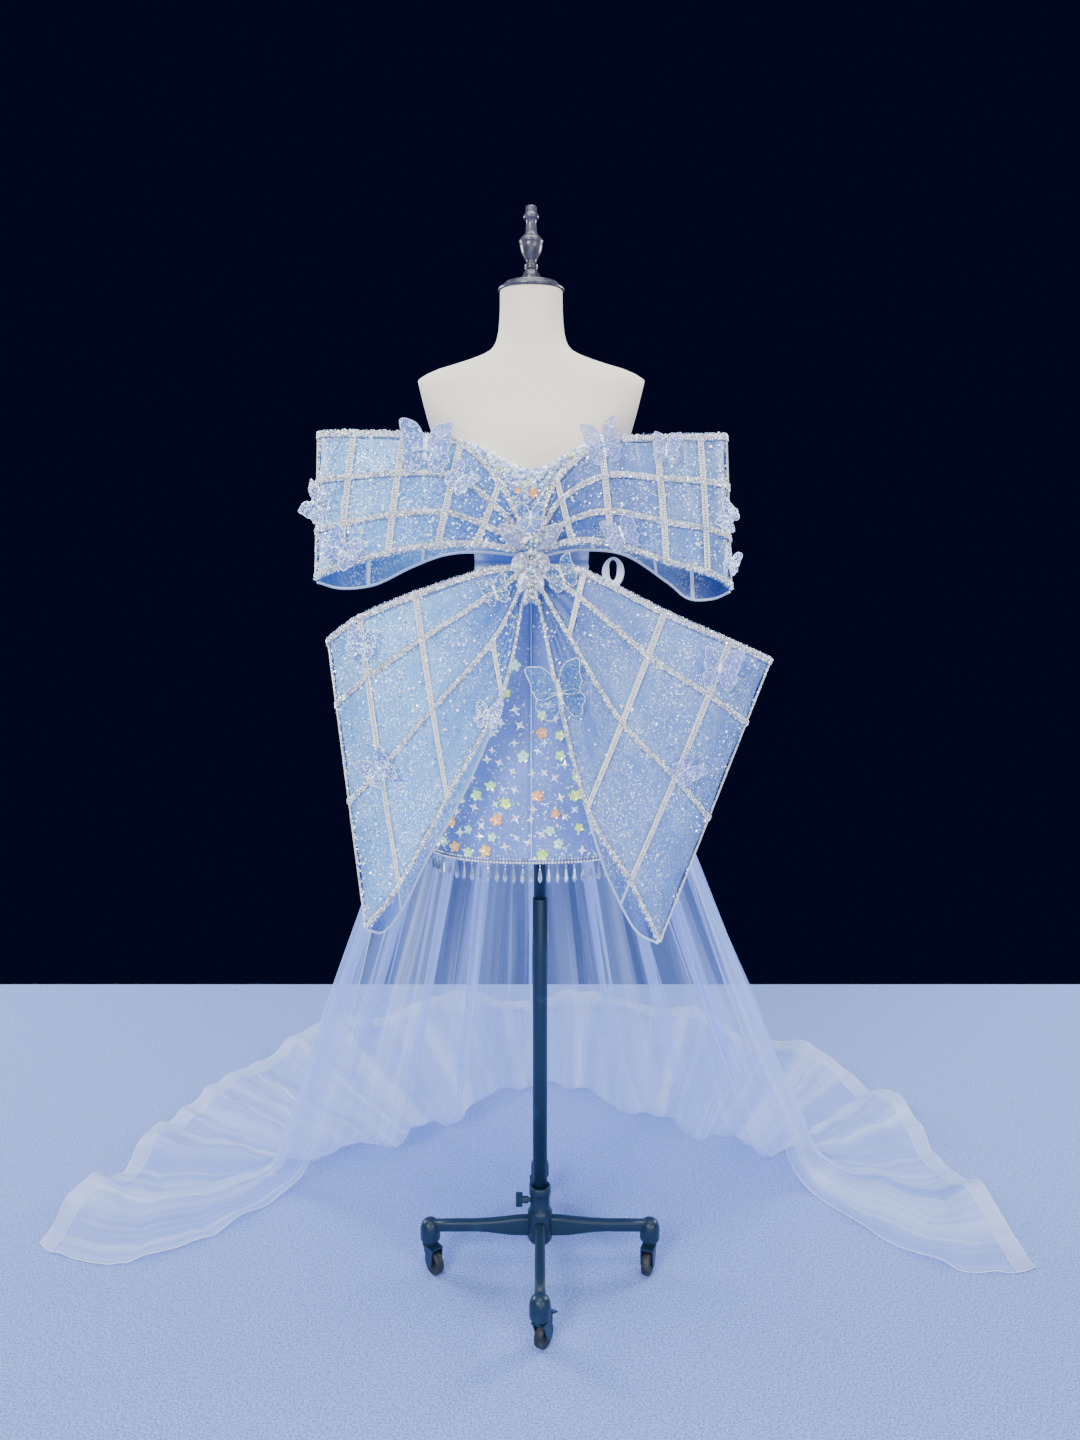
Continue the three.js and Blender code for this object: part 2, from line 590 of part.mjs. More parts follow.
// A castor: the fork turns about the leg's end, and the wheel about the fork's axle.
// turn is the direction in which the wheel trails.
function addCastor(name, place, turn) {
  const group = new THREE.Group();
  group.position.set(place.x, place.y, 0);
  group.rotation.z = turn * degrees;
  model.add(group);
  const cheekOutline = new THREE.Shape();
  cheekOutline.moveTo(-7, 52);
  cheekOutline.lineTo(wheel.trail - 7, wheel.radius - 2);
  cheekOutline.absarc(wheel.trail, wheel.radius, 7, Math.PI * 1.1, Math.PI * 1.95, false);
  cheekOutline.lineTo(22, 52);
  const cheek = (y) =>
    new THREE.ExtrudeGeometry(cheekOutline, {
      depth: castor.cheek,
      bevelEnabled: false,
      curveSegments: 4,
    })
      .rotateX(Math.PI / 2)
      .translate(0, y, 0);
  const { plateZ, plateWall, cheekOut } = castor;
  const axle = rod(wheel.axle, -cheekOut, cheekOut, 8)
    .rotateX(Math.PI / 2)
    .translate(wheel.trail, 0, wheel.radius);
  const fork = joined([
    boxAt(31, 2 * cheekOut, plateWall, 6.5, 0, plateZ + plateWall / 2),
    cheek(cheekOut),
    cheek(castor.cheek - cheekOut),
    axle,
    rod(castor.stemRadius, plateZ + 2, 62 - seamGap, 12),
  ]);
  addPiece(`castor_${name}_fork`, fork, "standPaint", group);
  const { radius, halfWidth, bore } = wheel;
  const across = radius / Math.cos(Math.PI / wheel.facets);
  const profile = [
    [bore, -halfWidth], [across - 2.5, -halfWidth], [across, -halfWidth + 2.5],
    [across, halfWidth - 2.5], [across - 2.5, halfWidth], [bore, halfWidth], [bore, -halfWidth],
  ];
  const tyre = turned(profile, wheel.facets)
    .rotateZ(Math.PI / wheel.facets)
    .rotateX(Math.PI / 2)
    .translate(wheel.trail, 0, radius);
  addPiece(`castor_${name}_wheel`, tyre, "wheelRubber", group);
  return group;
}

function addCastors() {
  const castors = [
    { name: "front", x: 0, y: -castorCircle, turn: 60 },
    { name: "right", x: castorCircle, y: 0, turn: 250 },
    { name: "rear", x: 0, y: castorCircle, turn: 120 },
    { name: "left", x: -castorCircle, y: 0, turn: -50 },
  ];
  castors.forEach(({ name, x, y, turn }) => {
    const group = addCastor(name, { x, y }, turn);
    if (name !== "front") return;
    const lever = new THREE.Shape();
    lever.moveTo(22.3, 49.8);
    lever.lineTo(30, 49.8);
    lever.lineTo(46, 42);
    lever.lineTo(47, 44.2);
    lever.lineTo(31, 53.2);
    lever.lineTo(22.3, 53.2);
    const pedal = new THREE.ExtrudeGeometry(lever, { depth: 16, bevelEnabled: false })
      .rotateX(Math.PI / 2)
      .translate(0, 8, 0);
    addPiece("castor_front_brake_lever", pedal, "standPaint", group);
  });
}

// ---------------------------------------------------------------- dress
function necklineAt(angle) {
  return along(neckline, "angle", "z", Math.min(Math.abs(angle), 180));
}

// A wall of the dress between two edges, with a column of facets at each of the body's angles.
// Each edge gives its angle at a height, and heights gives the rows at an angle, from the top.
function dressPanel(fromEdge, toEdge, heights) {
  const step = 360 / bodyAngles;
  const first = Math.floor(fromEdge(waistZ) / step + 0.5) + 1;
  const last = Math.ceil(toEdge(waistZ) / step - 0.5) - 1;
  const columns = Array.from({ length: last - first + 1 }, (_, k) => () => (first + k) * step);
  const skin = (lift) =>
    [fromEdge, ...columns, toEdge].map((angleAt) =>
      heights(angleAt(waistZ))
        .map((z) => dressPoint(angleAt(z), z, lift))
        .reverse(),
    );
  return wallBetween(skin(formClearance), skin(formClearance + clothWall));
}

const halfGap = seamGap / 2;
// The centre back edge of a back panel: beside the zip's tape, then at the seam.
function zipEdgeOff(z) {
  const share = Math.min(Math.max((z - zip.pointZ) / (zip.bottomZ - zip.pointZ), 0), 1);
  return mix(zip.pointHalfWidth, zip.halfWidth, share);
}
function backEdge(side) {
  return (z) => side * (180 - angleOff(z < zip.pointZ ? halfGap : zipEdgeOff(z) + seamGap, z));
}
const sideAngle = 90;
const seamTurn = 0.12; // degrees to each side of a side or centre front seam

function bodiceHeights(angle) {
  const top = necklineAt(angle);
  const below = bodiceRings[0];
  return [top, mix(top, below, 1 / 3), mix(top, below, 2 / 3), ...bodiceRings, waistZ + halfGap];
}

function addDress() {
  addPiece(
    "bodice_front",
    dressPanel(() => seamTurn - sideAngle, () => sideAngle - seamTurn, bodiceHeights),
    "sequinSatin",
  );
  const skirtHeights = () => [waistZ - halfGap, ...skirtRings, hemZ];
  [["left", -1], ["right", 1]].forEach(([name, side]) => {
    const panel = (pieceName, nearFront, nearBack, heights) => {
      const edges = side > 0 ? [nearFront, nearBack] : [nearBack, nearFront];
      addPiece(pieceName, dressPanel(...edges, heights), "sequinSatin");
    };
    const at = (angle) => () => side * angle;
    panel(`bodice_back_${name}`, at(sideAngle + seamTurn), backEdge(side), bodiceHeights);
    panel(`skirt_front_${name}`, at(seamTurn), at(sideAngle - seamTurn), skirtHeights);
    panel(`skirt_back_${name}`, at(sideAngle + seamTurn), backEdge(side), skirtHeights);
  });
  const tapeHeights = [zip.topZ, ...bodiceRings, waistZ, 1269, 1240, 1200, zip.bottomZ, zip.pointZ];
  const tapeSkin = (lift) =>
    [-1, 0, 1].map((side) =>
      tapeHeights
        .map((z) => dressPoint(180 - side * angleOff(zipEdgeOff(z), z), z, lift))
        .reverse(),
    );
  const zipSkin = (lift) => tapeSkin(lift).reverse();
  addPiece(
    "back_zip",
    wallBetween(zipSkin(formClearance), zipSkin(formClearance + clothWall)),
    "satin",
  );
  addZipSlider();
}

function addZipSlider() {
  const sliderTopZ = zip.topZ - 4;
  const outer = dressPoint(180, sliderTopZ - 6, formClearance + clothWall);
  const lean = Math.atan2(
    dressPoint(180, sliderTopZ, 0).y - dressPoint(180, sliderTopZ - 12, 0).y,
    12,
  );
  const { width, depth, height, lugWidth, lugDepth, lugHeight } = slider;
  const body = joined([
    boxAt(width, depth, height, 0, depth / 2 + seamGap, 0),
    boxAt(lugWidth, lugDepth, lugHeight, 0, depth + seamGap, 1),
  ]);
  const sliderMesh = addPiece("zip_slider", body, "steel");
  sliderMesh.position.copy(outer);
  sliderMesh.rotation.x = -lean;
  const eye = boxAt(1.6, 8, 2.2, 0, 0, -18);
  const plate = joined([
    boxAt(pull.width, pull.wall, pull.height, 0, 0, 1 - pull.height / 2),
    boxAt(pull.neckWidth, pull.wall, pull.neckHeight, 0, 0, 1),
  ]);
  const pullMesh = addPiece("zip_pull", cut(plate, [eye]), "steel");
  pullMesh.position.set(outer.x, outer.y + pull.offset, outer.z - 1);
}

// ---------------------------------------------------------------- bow
// A loop panel's grid: columns run outwards along the loop, rows from its top to its bottom.
function loopGrid(rows, shares, bulge, steps) {
  const table = rows.map((row, i) => ({ ...row, i }));
  const columns = (rows.length - 1) * steps + 1;
  return Array.from({ length: columns }, (_, k) => {
    const at = k / steps;
    const value = (name) => along(table, "i", name, at);
    return shares.map((share) =>
      vec(
        mix(value("topX"), value("bottomX"), share),
        value("y") - bulge * Math.sin(Math.PI * share) * Math.sin((Math.PI * k) / (columns - 1)),
        mix(value("topZ"), value("bottomZ"), share),
      ),
    );
  });
}

// The rows of facets on a front: at each rib, and once between two ribs.
function shareRows(ribsAt) {
  return ribsAt.flatMap((share, k) => (k === 0 ? [share] : [(ribsAt[k - 1] + share) / 2, share]));
}

// The lines of a rib lattice in one direction: a pair beside each rib, and one where the panel
// folds between two ribs. off is in half widths of a rib.
function latticeLines(last, ribs) {
  return Array.from({ length: last + 1 }, (_, at) => {
    if (!ribs.includes(at)) return [{ at, off: 0 }];
    const [before, after] = at === 0 ? [0, 2] : at === last ? [-2, 0] : [-1, 1];
    return [{ at, off: before, rib: at }, { at, off: after }];
  }).flat();
}

// The ribs on a front as one flat body, laid out cell by cell from the panel's own points.
function latticeOn(grid, normals, loop, outward) {
  const lastColumn = grid.length - 1;
  const lastRow = grid[0].length - 1;
  const spans = { full: [0, lastRow], edge: [0, lastRow], lower: [4, lastRow], upper: [0, 4] };
  const spanAt = {};
  loop.front.forEach(({ cross }, k) => {
    const i = outward ? k * frontSteps : lastColumn - k * frontSteps;
    if (cross in spans) spanAt[i] = spans[cross];
  });
  const across = latticeLines(lastColumn, Object.keys(spanAt).map(Number));
  const down = latticeLines(lastRow, loop.ribsAt.map((_, k) => 2 * k));
  const holds = (a, b) => {
    if (!(a in across) || !(b in down) || a > across.length - 2 || b > down.length - 2) return false;
    if ("rib" in down[b]) return true;
    if (!("rib" in across[a])) return false;
    const [first, last] = spanAt[across[a].at];
    return down[b].at >= first && down[b + 1].at <= last;
  };
  const step = (from, to) => to.clone().sub(from).normalize();
  const corner = (a, b, height) => {
    const { at: i, off: offAcross } = across[a];
    const { at: j, off: offDown } = down[b];
    const point = grid[i][j].clone().addScaledVector(normals[i][j], height);
    const half = rib.width / 2;
    if (offAcross > 0) point.addScaledVector(step(grid[i][j], grid[i + 1][j]), offAcross * half);
    if (offAcross < 0) point.addScaledVector(step(grid[i - 1][j], grid[i][j]), offAcross * half);
    if (offDown > 0) point.addScaledVector(step(grid[i][j], grid[i][j + 1]), offDown * half);
    if (offDown < 0) point.addScaledVector(step(grid[i][j - 1], grid[i][j]), offDown * half);
    return point;
  };
  const points = [];
  const numbers = new Map();
  const number = (a, b, upper) => {
    const key = `${a} ${b} ${upper}`;
    if (!numbers.has(key)) {
      numbers.set(key, points.length);
      points.push(corner(a, b, upper ? rib.lift + rib.wall : rib.lift));
    }
    return numbers.get(key);
  };
  const triangles = [];
  const quad = (p, q, r, t) => triangles.push(p, q, r, p, r, t);
  const side = (a, b, c, d) =>
    quad(number(a, b, false), number(c, d, false), number(c, d, true), number(a, b, true));
  for (let a = 0; a < across.length - 1; a += 1) {
    for (let b = 0; b < down.length - 1; b += 1) {
      if (!holds(a, b)) continue;
      const ring = [[a, b], [a + 1, b], [a + 1, b + 1], [a, b + 1]];
      quad(...ring.map(([x, y]) => number(x, y, true)));
      quad(...[...ring].reverse().map(([x, y]) => number(x, y, false)));
      if (!holds(a, b - 1)) side(a, b, a + 1, b);
      if (!holds(a + 1, b)) side(a + 1, b, a + 1, b + 1);
      if (!holds(a, b + 1)) side(a + 1, b + 1, a, b + 1);
      if (!holds(a - 1, b)) side(a, b + 1, a, b);
    }
  }
  return geometryFrom(points, triangles);
}

// One butterfly: two fore wings and two hind wings, folded up from a slim body.
function butterflySolid(span, raise) {
  const unit = span / 2;
  const wingPoints = [
    [0.0, 0.12], [0.2, 0.6], [0.82, 0.86], [1.0, 0.7], [0.84, 0.22], [0.5, 0.02],
    [0.72, -0.2], [0.68, -0.6], [0.36, -0.72], [0.1, -0.3], [0.0, -0.16],
  ];
  const outline = new THREE.Shape(wingPoints.map(([x, y]) => new THREE.Vector2(x * unit, y * unit)));
  const wings = [-1, 1].map((side) => {
    const wing = new THREE.ExtrudeGeometry(outline, { depth: 1.3, bevelEnabled: false });
    wing.rotateY(-raise * degrees).translate(0.2, 0, 2.2);
    return side > 0 ? wing : mirroredOut(indexed(wing).scale(-1, 1, 1), -1);
  });
  return joined([...wings, boxAt(3.2, unit * 0.9, 3.6, 0, 0, 2)]);
}

function indexed(geometry) {
  const bare = geometry.clone();
  bare.deleteAttribute("normal");
  bare.deleteAttribute("uv");
  return mergeVertices(bare, 1e-3);
}

function addButterflies(fronts) {
  butterflies.forEach(({ loop, out, down, span, turn, raise }, index) => {
    const { grid, normals } = fronts[loop];
    const i = Math.round(out * (grid.length - 1));
    const rowShares = shareRows(loops[loop].ribsAt);
    let j = 0;
    while (j < rowShares.length - 2 && rowShares[j + 1] < down) j += 1;
    const share = Math.min(Math.max((down - rowShares[j]) / (rowShares[j + 1] - rowShares[j]), 0), 1);
    const point = grid[i][j].clone().lerp(grid[i][j + 1], share);
    const normal = normals[i][j].clone().lerp(normals[i][j + 1], share).normalize();
    const up = grid[i][0].clone().sub(grid[i][grid[i].length - 1]).normalize();
    const sideways = up.clone().cross(normal).normalize();
    const upright = normal.clone().cross(sideways).normalize();
    const frame = new THREE.Matrix4().makeBasis(sideways, upright, normal);
    const mesh = addPiece(`butterfly_${index + 1}`, butterflySolid(span, raise), "organza");
    mesh.quaternion.setFromRotationMatrix(frame);
    mesh.rotateZ(turn * degrees);
    mesh.position.copy(point.addScaledVector(normal, rib.lift + rib.wall + seamGap - 0.1));
  });
}

function addBow() {
  const fronts = {};
  Object.entries(loops).forEach(([name, loop]) => {
    const facing = name.endsWith("left") ? 1 : -1;
    const oriented = (grid) => (facing > 0 ? grid : [...grid].reverse());
    const rawFront = loopGrid(loop.front, shareRows(loop.ribsAt), loop.bulge, frontSteps);
    const frontGrid = oriented(rawFront);
    const frontNormals = gridNormals(frontGrid);
    addPiece(`loop_${name}_front`, wallOn(frontGrid, 0, clothWall, frontNormals), "organza");
    const skin = frontGrid.map((column, i) =>
      column.map((point, j) => point.clone().addScaledVector(frontNormals[i][j], clothWall)),
    );
    addPiece(`loop_${name}_ribs`, latticeOn(skin, frontNormals, loop, facing > 0), "beadTrim");
    fronts[name] = { grid: oriented(skin), normals: oriented(frontNormals) };
    const backGrid = oriented(loopGrid(loop.back, [0, 0.25, 0.5, 0.75, 1], 0, backSteps));
    const backNormals = gridNormals(backGrid);
    addPiece(`loop_${name}_back`, wallOn(backGrid, 0, clothWall, backNormals), "organza");
    const edge = backGrid.map((column, i) => {
      const bottom = column[column.length - 1];
      const down = bottom.clone().sub(column[column.length - 2]).normalize();
      const start = bottom
        .clone()
        .addScaledVector(down, 2 * seamGap)
        .addScaledVector(backNormals[i][column.length - 1], (clothWall - binding.wall) / 2);
      return [start, start.clone().addScaledVector(down, binding.height)];
    });
    const edgeNormals = backNormals.map((column) => [column[column.length - 1], column[column.length - 1]]);
    addPiece(`loop_${name}_binding`, wallOn(edge, 0, binding.wall, edgeNormals), "satin");
  });
  addBand();
  addHangerRibbon();
  addButterflies(fronts);
}

// The band that gathers the loops: its back lies along the bodice and its front is rounded.
function addBand() {
  const bandRows = [
    { z: band.topZ, halfWidth: 11, front: -148 },
    { z: 1356, halfWidth: 17, front: -159 },
    { z: 1330, halfWidth: 20, front: band.frontY },
    { z: 1296, halfWidth: 18.5, front: band.frontY },
    { z: 1262, halfWidth: 16.5, front: band.frontY + 1 },
    { z: 1240, halfWidth: 14, front: -160 },
    { z: band.bottomZ, halfWidth: 9, front: -150 },
  ];
  const facets = 12;
  const rings = bandRows.map(({ z, halfWidth, front }) => {
    const back = dressPoint(0, z, formClearance + clothWall + seamGap).y;
    return Array.from({ length: facets }, (_, k) => {
      const turn = (2 * Math.PI * k) / facets;
      const soft = (value) => Math.sign(value) * Math.abs(value) ** 0.7;
      return vec(
        formAxisX + halfWidth * soft(Math.sin(turn)),
        (front + back) / 2 - ((back - front) / 2) * soft(Math.cos(turn)),
        z,
      );
    });
  });
  addPiece("bow_centre_band", solidThrough(rings), "satin");
  addBrooch(bandRows);
}

// The brooch follows the band's front, a plain solid where its pearls and crystals stand.
function addBrooch(bandRows) {
  const halfWidths = { 1356: 15, 1330: 36, 1296: 19, 1262: 17, 1240: 9 };
  const broochRows = bandRows.filter(({ z }) => z in halfWidths);
  const columns = [-1, -0.5, 0, 0.5, 1];
  const grid = columns.map((side) =>
    broochRows
      .map(({ z, front }) => {
        const forward = seamGap + 5 * side * side;
        return vec(formAxisX + side * halfWidths[z], front - forward, z);
      })
      .reverse(),
  );
  const push = grid.map((column) => column.map(() => vec(0, -1, 0)));
  addPiece("bow_brooch", wallOn(grid, 0, 7, push), "crystal");
}

// A loop of satin ribbon that hangs from the binding of the upper right loop.
function addHangerRibbon() {
  const ring = new THREE.Shape();
  const size = { halfWidth: 13, halfHeight: 24, ribbon: 9 };
  ring.absellipse(0, 0, size.halfWidth, size.halfHeight, 0, Math.PI * 2, false);
  const hole = new THREE.Path();
  hole.absellipse(0, 0, size.halfWidth - 1.4, size.halfHeight - 1.4, 0, Math.PI * 2, false);
  ring.holes.push(hole);
  const ribbon = new THREE.ExtrudeGeometry(ring, {
    depth: size.ribbon,
    bevelEnabled: false,
    curveSegments: 9,
  })
    .rotateX(Math.PI / 2)
    .translate(0, size.ribbon / 2, 0);
  const mesh = addPiece("ribbon_hanger_loop", ribbon, "satin");
  mesh.position.set(113, -126, 1277.4);
}

// ---------------------------------------------------------------- fringe and train
function addFringe() {
  const lift = (wall) => formClearance + clothWall / 2 + wall;
  const topZ = hemZ - seamGap;
  const ringAt = (distance, z) =>
    Array.from({ length: bodyAngles }, (_, k) => {
      const point = dressPoint((k * 360) / bodyAngles, hemZ + 2, distance);
      return vec(point.x, point.y, z);
    });
  const rings = [
    ringAt(lift(-fringeWall / 2), topZ),
    ringAt(lift(fringeWall / 2), topZ),
    ringAt(lift(fringeWall / 2), topZ - fringeLength),
    ringAt(lift(-fringeWall / 2), topZ - fringeLength),
  ];
  const triangles = [];
  rings.forEach((_, r) => {
    const next = (r + 1) % rings.length;
    for (let k = 0; k < bodyAngles; k += 1) {
      const k1 = (k + 1) % bodyAngles;
      const [a, b] = [r * bodyAngles + k, r * bodyAngles + k1];
      const [c, d] = [next * bodyAngles + k1, next * bodyAngles + k];
      triangles.push(a, c, b, a, d, c);
    }
  });
  addPiece("bead_fringe", geometryFrom(rings.flat(), triangles), "crystal");
}

// The line of cloth at u, before its pleats: points down to the floor and out to the hem.
function trainLine(u) {
  const angle = mix(tape.startAngle, 360 - tape.startAngle, u);
  const value = (name) => along(trainLines, "u", name, u);
  const floor = vec(value("floorX"), value("floorY"), 0);
  const hemPoint = vec(value("hemX"), value("hemY"), 0);
  const hipRow = trainRows.findLast((row) => "lift" in row);
  const hip = dressPoint(-angle, hipRow.z, hipRow.lift);
  return trainRows.map((row) => {
    if ("along" in row) {
      const bend = 4 * row.along * (1 - row.along);
      return floor.clone().lerp(hemPoint, row.along).add(vec(0, bend * value("curveY"), 0));
    }
    if ("lift" in row) return dressPoint(-angle, row.z, row.lift);
    const out = ((hipRow.z - row.z) / hipRow.z) ** trainFlare;
    return vec(mix(hip.x, floor.x, out), mix(hip.y, floor.y, out), row.z);
  });
}

// How far the pleats stand out at u: from 0 between two pleats to 1 on a pleat, uneven in size.
function pleatAt(u) {
  const turn = 2 * Math.PI * trainPleats * u;
  const size = 0.75 + 0.25 * Math.sin(5.3 * Math.PI * u + 0.8);
  return size * (0.5 - 0.5 * Math.cos(turn));
}

function addTrain() {
  const columns = trainPleats * columnsPerPleat;
  const plain = Array.from({ length: columns + 1 }, (_, i) => trainLine(i / columns));
  const plainNormals = gridNormals(plain);
  const inner = plain.map((column, i) =>
    column.map((point, j) => {
      const moved = point
        .clone()
        .addScaledVector(plainNormals[i][j], trainRows[j].pleat * pleatAt(i / columns));
      moved.z = Math.max(moved.z, 0);
      return moved;
    }),
  );
  const normals = gridNormals(inner);
  const skin = (grid, distance) =>
    grid.map((column, i) =>
      column.map((point, j) => {
        const moved = point.clone().addScaledVector(normals[i][j], distance);
        moved.z = Math.max(moved.z, distance);
        return moved;
      }),
    );
  const outer = skin(inner, clothWall);
  outer.forEach((column) => {
    column[0].z = trainRows[0].z;
  });
  addPiece("train", wallBetween(inner, outer), "tulle");
  const rowsOf = (grid) => grid.map((column) => column.slice(crinFirstRow));
  addPiece(
    "train_hem_band",
    wallBetween(
      rowsOf(skin(inner, clothWall + seamGap)),
      rowsOf(skin(inner, clothWall + seamGap + crinWall)),
    ),
    "tulle",
  );
  const tapeTop = trainRows[0].z + seamGap + tape.height;
  const tapeColumns = ((180 - tape.startAngle) * bodyAngles) / 180;
  const tapeSkin = (lift) =>
    Array.from({ length: tapeColumns + 1 }, (_, i) => {
      const angle = mix(tape.startAngle, 360 - tape.startAngle, i / tapeColumns);
      return [trainRows[0].z + seamGap, tapeTop].map((z) => dressPoint(angle, z, lift));
    });
  const tapeLift = formClearance + clothWall + tape.gap;
  addPiece(
    "train_waist_tape",
    wallBetween(tapeSkin(tapeLift), tapeSkin(tapeLift + tape.wall)),
    "satin",
  );
}

addForm();
addStand();
addCastors();
addDress();
addBow();
addFringe();
addTrain();

model.updateMatrixWorld(true);
const bounds = new THREE.Box3().setFromObject(model, true);
const middle = bounds.getCenter(new THREE.Vector3());
model.position.set(-middle.x, -middle.y, 0);
model.updateMatrixWorld(true);

export default model;
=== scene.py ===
# A strapless mini prom dress with a boned bow and a tulle train, on its dress form.
# Tables and sizes are millimetres about the stand's pole, and makePiece moves each
# piece into the frame. The front faces -Y.
import functools
import math
import random

import bmesh
import bpy
from mathutils import Matrix, Vector, noise


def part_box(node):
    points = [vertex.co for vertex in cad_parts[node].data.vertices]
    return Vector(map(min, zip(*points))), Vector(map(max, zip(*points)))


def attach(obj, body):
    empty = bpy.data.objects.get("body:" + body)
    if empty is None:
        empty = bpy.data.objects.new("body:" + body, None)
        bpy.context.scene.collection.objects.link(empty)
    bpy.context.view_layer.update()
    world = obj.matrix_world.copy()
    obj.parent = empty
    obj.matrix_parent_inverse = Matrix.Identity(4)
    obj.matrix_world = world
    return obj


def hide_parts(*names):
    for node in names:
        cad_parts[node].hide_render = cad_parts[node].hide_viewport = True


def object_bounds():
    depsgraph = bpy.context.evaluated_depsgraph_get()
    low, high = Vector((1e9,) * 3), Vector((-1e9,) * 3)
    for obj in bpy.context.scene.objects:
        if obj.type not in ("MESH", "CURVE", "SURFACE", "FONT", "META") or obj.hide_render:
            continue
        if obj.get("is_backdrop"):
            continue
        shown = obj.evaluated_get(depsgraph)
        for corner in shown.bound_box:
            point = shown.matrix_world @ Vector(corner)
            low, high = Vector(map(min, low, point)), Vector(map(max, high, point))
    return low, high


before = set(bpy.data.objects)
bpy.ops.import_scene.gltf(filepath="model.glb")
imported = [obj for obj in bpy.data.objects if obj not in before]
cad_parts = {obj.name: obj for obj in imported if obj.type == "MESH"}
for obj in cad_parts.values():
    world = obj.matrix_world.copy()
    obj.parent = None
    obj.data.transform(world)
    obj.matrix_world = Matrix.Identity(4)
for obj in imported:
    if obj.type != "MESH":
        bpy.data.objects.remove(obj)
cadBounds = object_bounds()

random.seed(11)
mainBody = "dress_on_form"
poleLow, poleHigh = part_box("pole_lower")
poleX, poleY = (poleLow.x + poleHigh.x) / 2, (poleLow.y + poleHigh.y) / 2
toFrame = Matrix.Translation((poleX, poleY, 0)) @ Matrix.Scale(0.001, 4)

cameraSet = {"lens": 26.0, "back": 1.751, "height": 1.287, "tilt": 0.14795}
cameraData = bpy.data.cameras.new("camera")
cameraData.lens = cameraSet["lens"]
cameraData.sensor_width = 36
camera = bpy.data.objects.new("camera", cameraData)
camera.location = (poleX, poleY - cameraSet["back"], cameraSet["height"])
camera.rotation_euler = (math.pi / 2 - cameraSet["tilt"], 0, 0)
bpy.context.scene.collection.objects.link(camera)
bpy.context.scene.camera = camera


def mix(a, b, share):
    return a + (b - a) * share


def smooth(share):
    share = min(max(share, 0), 1)
    return share * share * (3 - 2 * share)


def table(names, rows):
    return [dict(zip(names.split(), row), i=i) for i, row in enumerate(rows)]


# A smooth curve through a table's rows: the value of a column where key has the value at.
def along(rows, key, column, at):
    last = len(rows) - 1
    sign = 1 if rows[last][key] > rows[0][key] else -1
    i = 0
    while i < last - 1 and sign * at > sign * rows[i + 1][key]:
        i += 1

    def slope(j):
        before, after = rows[max(j - 1, 0)], rows[min(j + 1, last)]
        return (after[column] - before[column]) / (after[key] - before[key])

    width = rows[i + 1][key] - rows[i][key]
    s = min(max((at - rows[i][key]) / width, 0), 1)
    return (
        (2 * s ** 3 - 3 * s ** 2 + 1) * rows[i][column]
        + (s ** 3 - 2 * s ** 2 + s) * width * slope(i)
        + (3 * s ** 2 - 2 * s ** 3) * rows[i + 1][column]
        + (s ** 3 - s ** 2) * width * slope(i + 1)
    )


# Shares along a path at which its points are evenly spaced.
def evenly(pathAt, spacing, samples=160):
    marks = [pathAt(k / samples) for k in range(samples + 1)]
    reach = [0]
    for a, b in zip(marks, marks[1:]):
        reach.append(reach[-1] + (b - a).length)
    count = max(int(reach[-1] / spacing), 1)
    shares, i = [], 0
    for k in range(count + 1):
        want = reach[-1] * k / count
        while i < samples - 1 and reach[i + 1] < want:
            i += 1
        step = reach[i + 1] - reach[i]
        shares.append((i + ((want - reach[i]) / step if step else 0)) / samples)
    return shares


# Adds a grid to bm whose points are pointAt(u, v), with its UVs in metres of cloth.
def addGrid(bm, columns, rows, pointAt, size=(1, 1), flip=False):
    uv = bm.loops.layers.uv.get("cloth") or bm.loops.layers.uv.new("cloth")
    made = bmesh.ops.create_grid(bm, x_segments=columns, y_segments=rows, size=0.5)["verts"]
    faces = {face for vert in made for face in vert.link_faces}
    for face in faces:
        for loop in face.loops:
            place = loop.vert.co
            loop[uv].uv = ((place.x + 0.5) * size[0], (place.y + 0.5) * size[1])
    for vert in made:
        vert.co = pointAt(vert.co.x + 0.5, vert.co.y + 0.5)
    if flip:
        bmesh.ops.reverse_faces(bm, faces=list(faces))
    return made


# The same, closed into a tube where u comes round, with its ends filled.
def addTube(bm, columns, rows, pointAt, size=(1, 1), flip=False):
    made = addGrid(bm, columns, rows, pointAt, size, flip)
    bmesh.ops.remove_doubles(bm, verts=made, dist=1e-4)
    rims = {e for v in made if v.is_valid for e in v.link_edges if e.is_boundary}
    bmesh.ops.holes_fill(bm, edges=list(rims), sides=0)


# A tube along a path, such as a piping or a wire.
def addSweep(bm, pathAt, steps, radius, sides=8):
    def pointAt(u, v):
        ahead = pathAt(min(v + 0.005, 1)) - pathAt(max(v - 0.005, 0))
        side = ahead.cross(Vector((0.13, 0.21, 0.97))).normalized()
        up = side.cross(ahead).normalized()
        turn = 2 * math.pi * u
        return pathAt(v) + (side * math.cos(turn) + up * math.sin(turn)) * radius

    addTube(bm, sides, steps, pointAt, flip=True)


# Puts a part that was made on its own into bm.
def addPart(bm, part, matrix=Matrix()):
    mesh = bpy.data.meshes.new("part")
    part.to_mesh(mesh)
    part.free()
    mesh.transform(matrix)
    bm.from_mesh(mesh)
    bpy.data.meshes.remove(mesh)


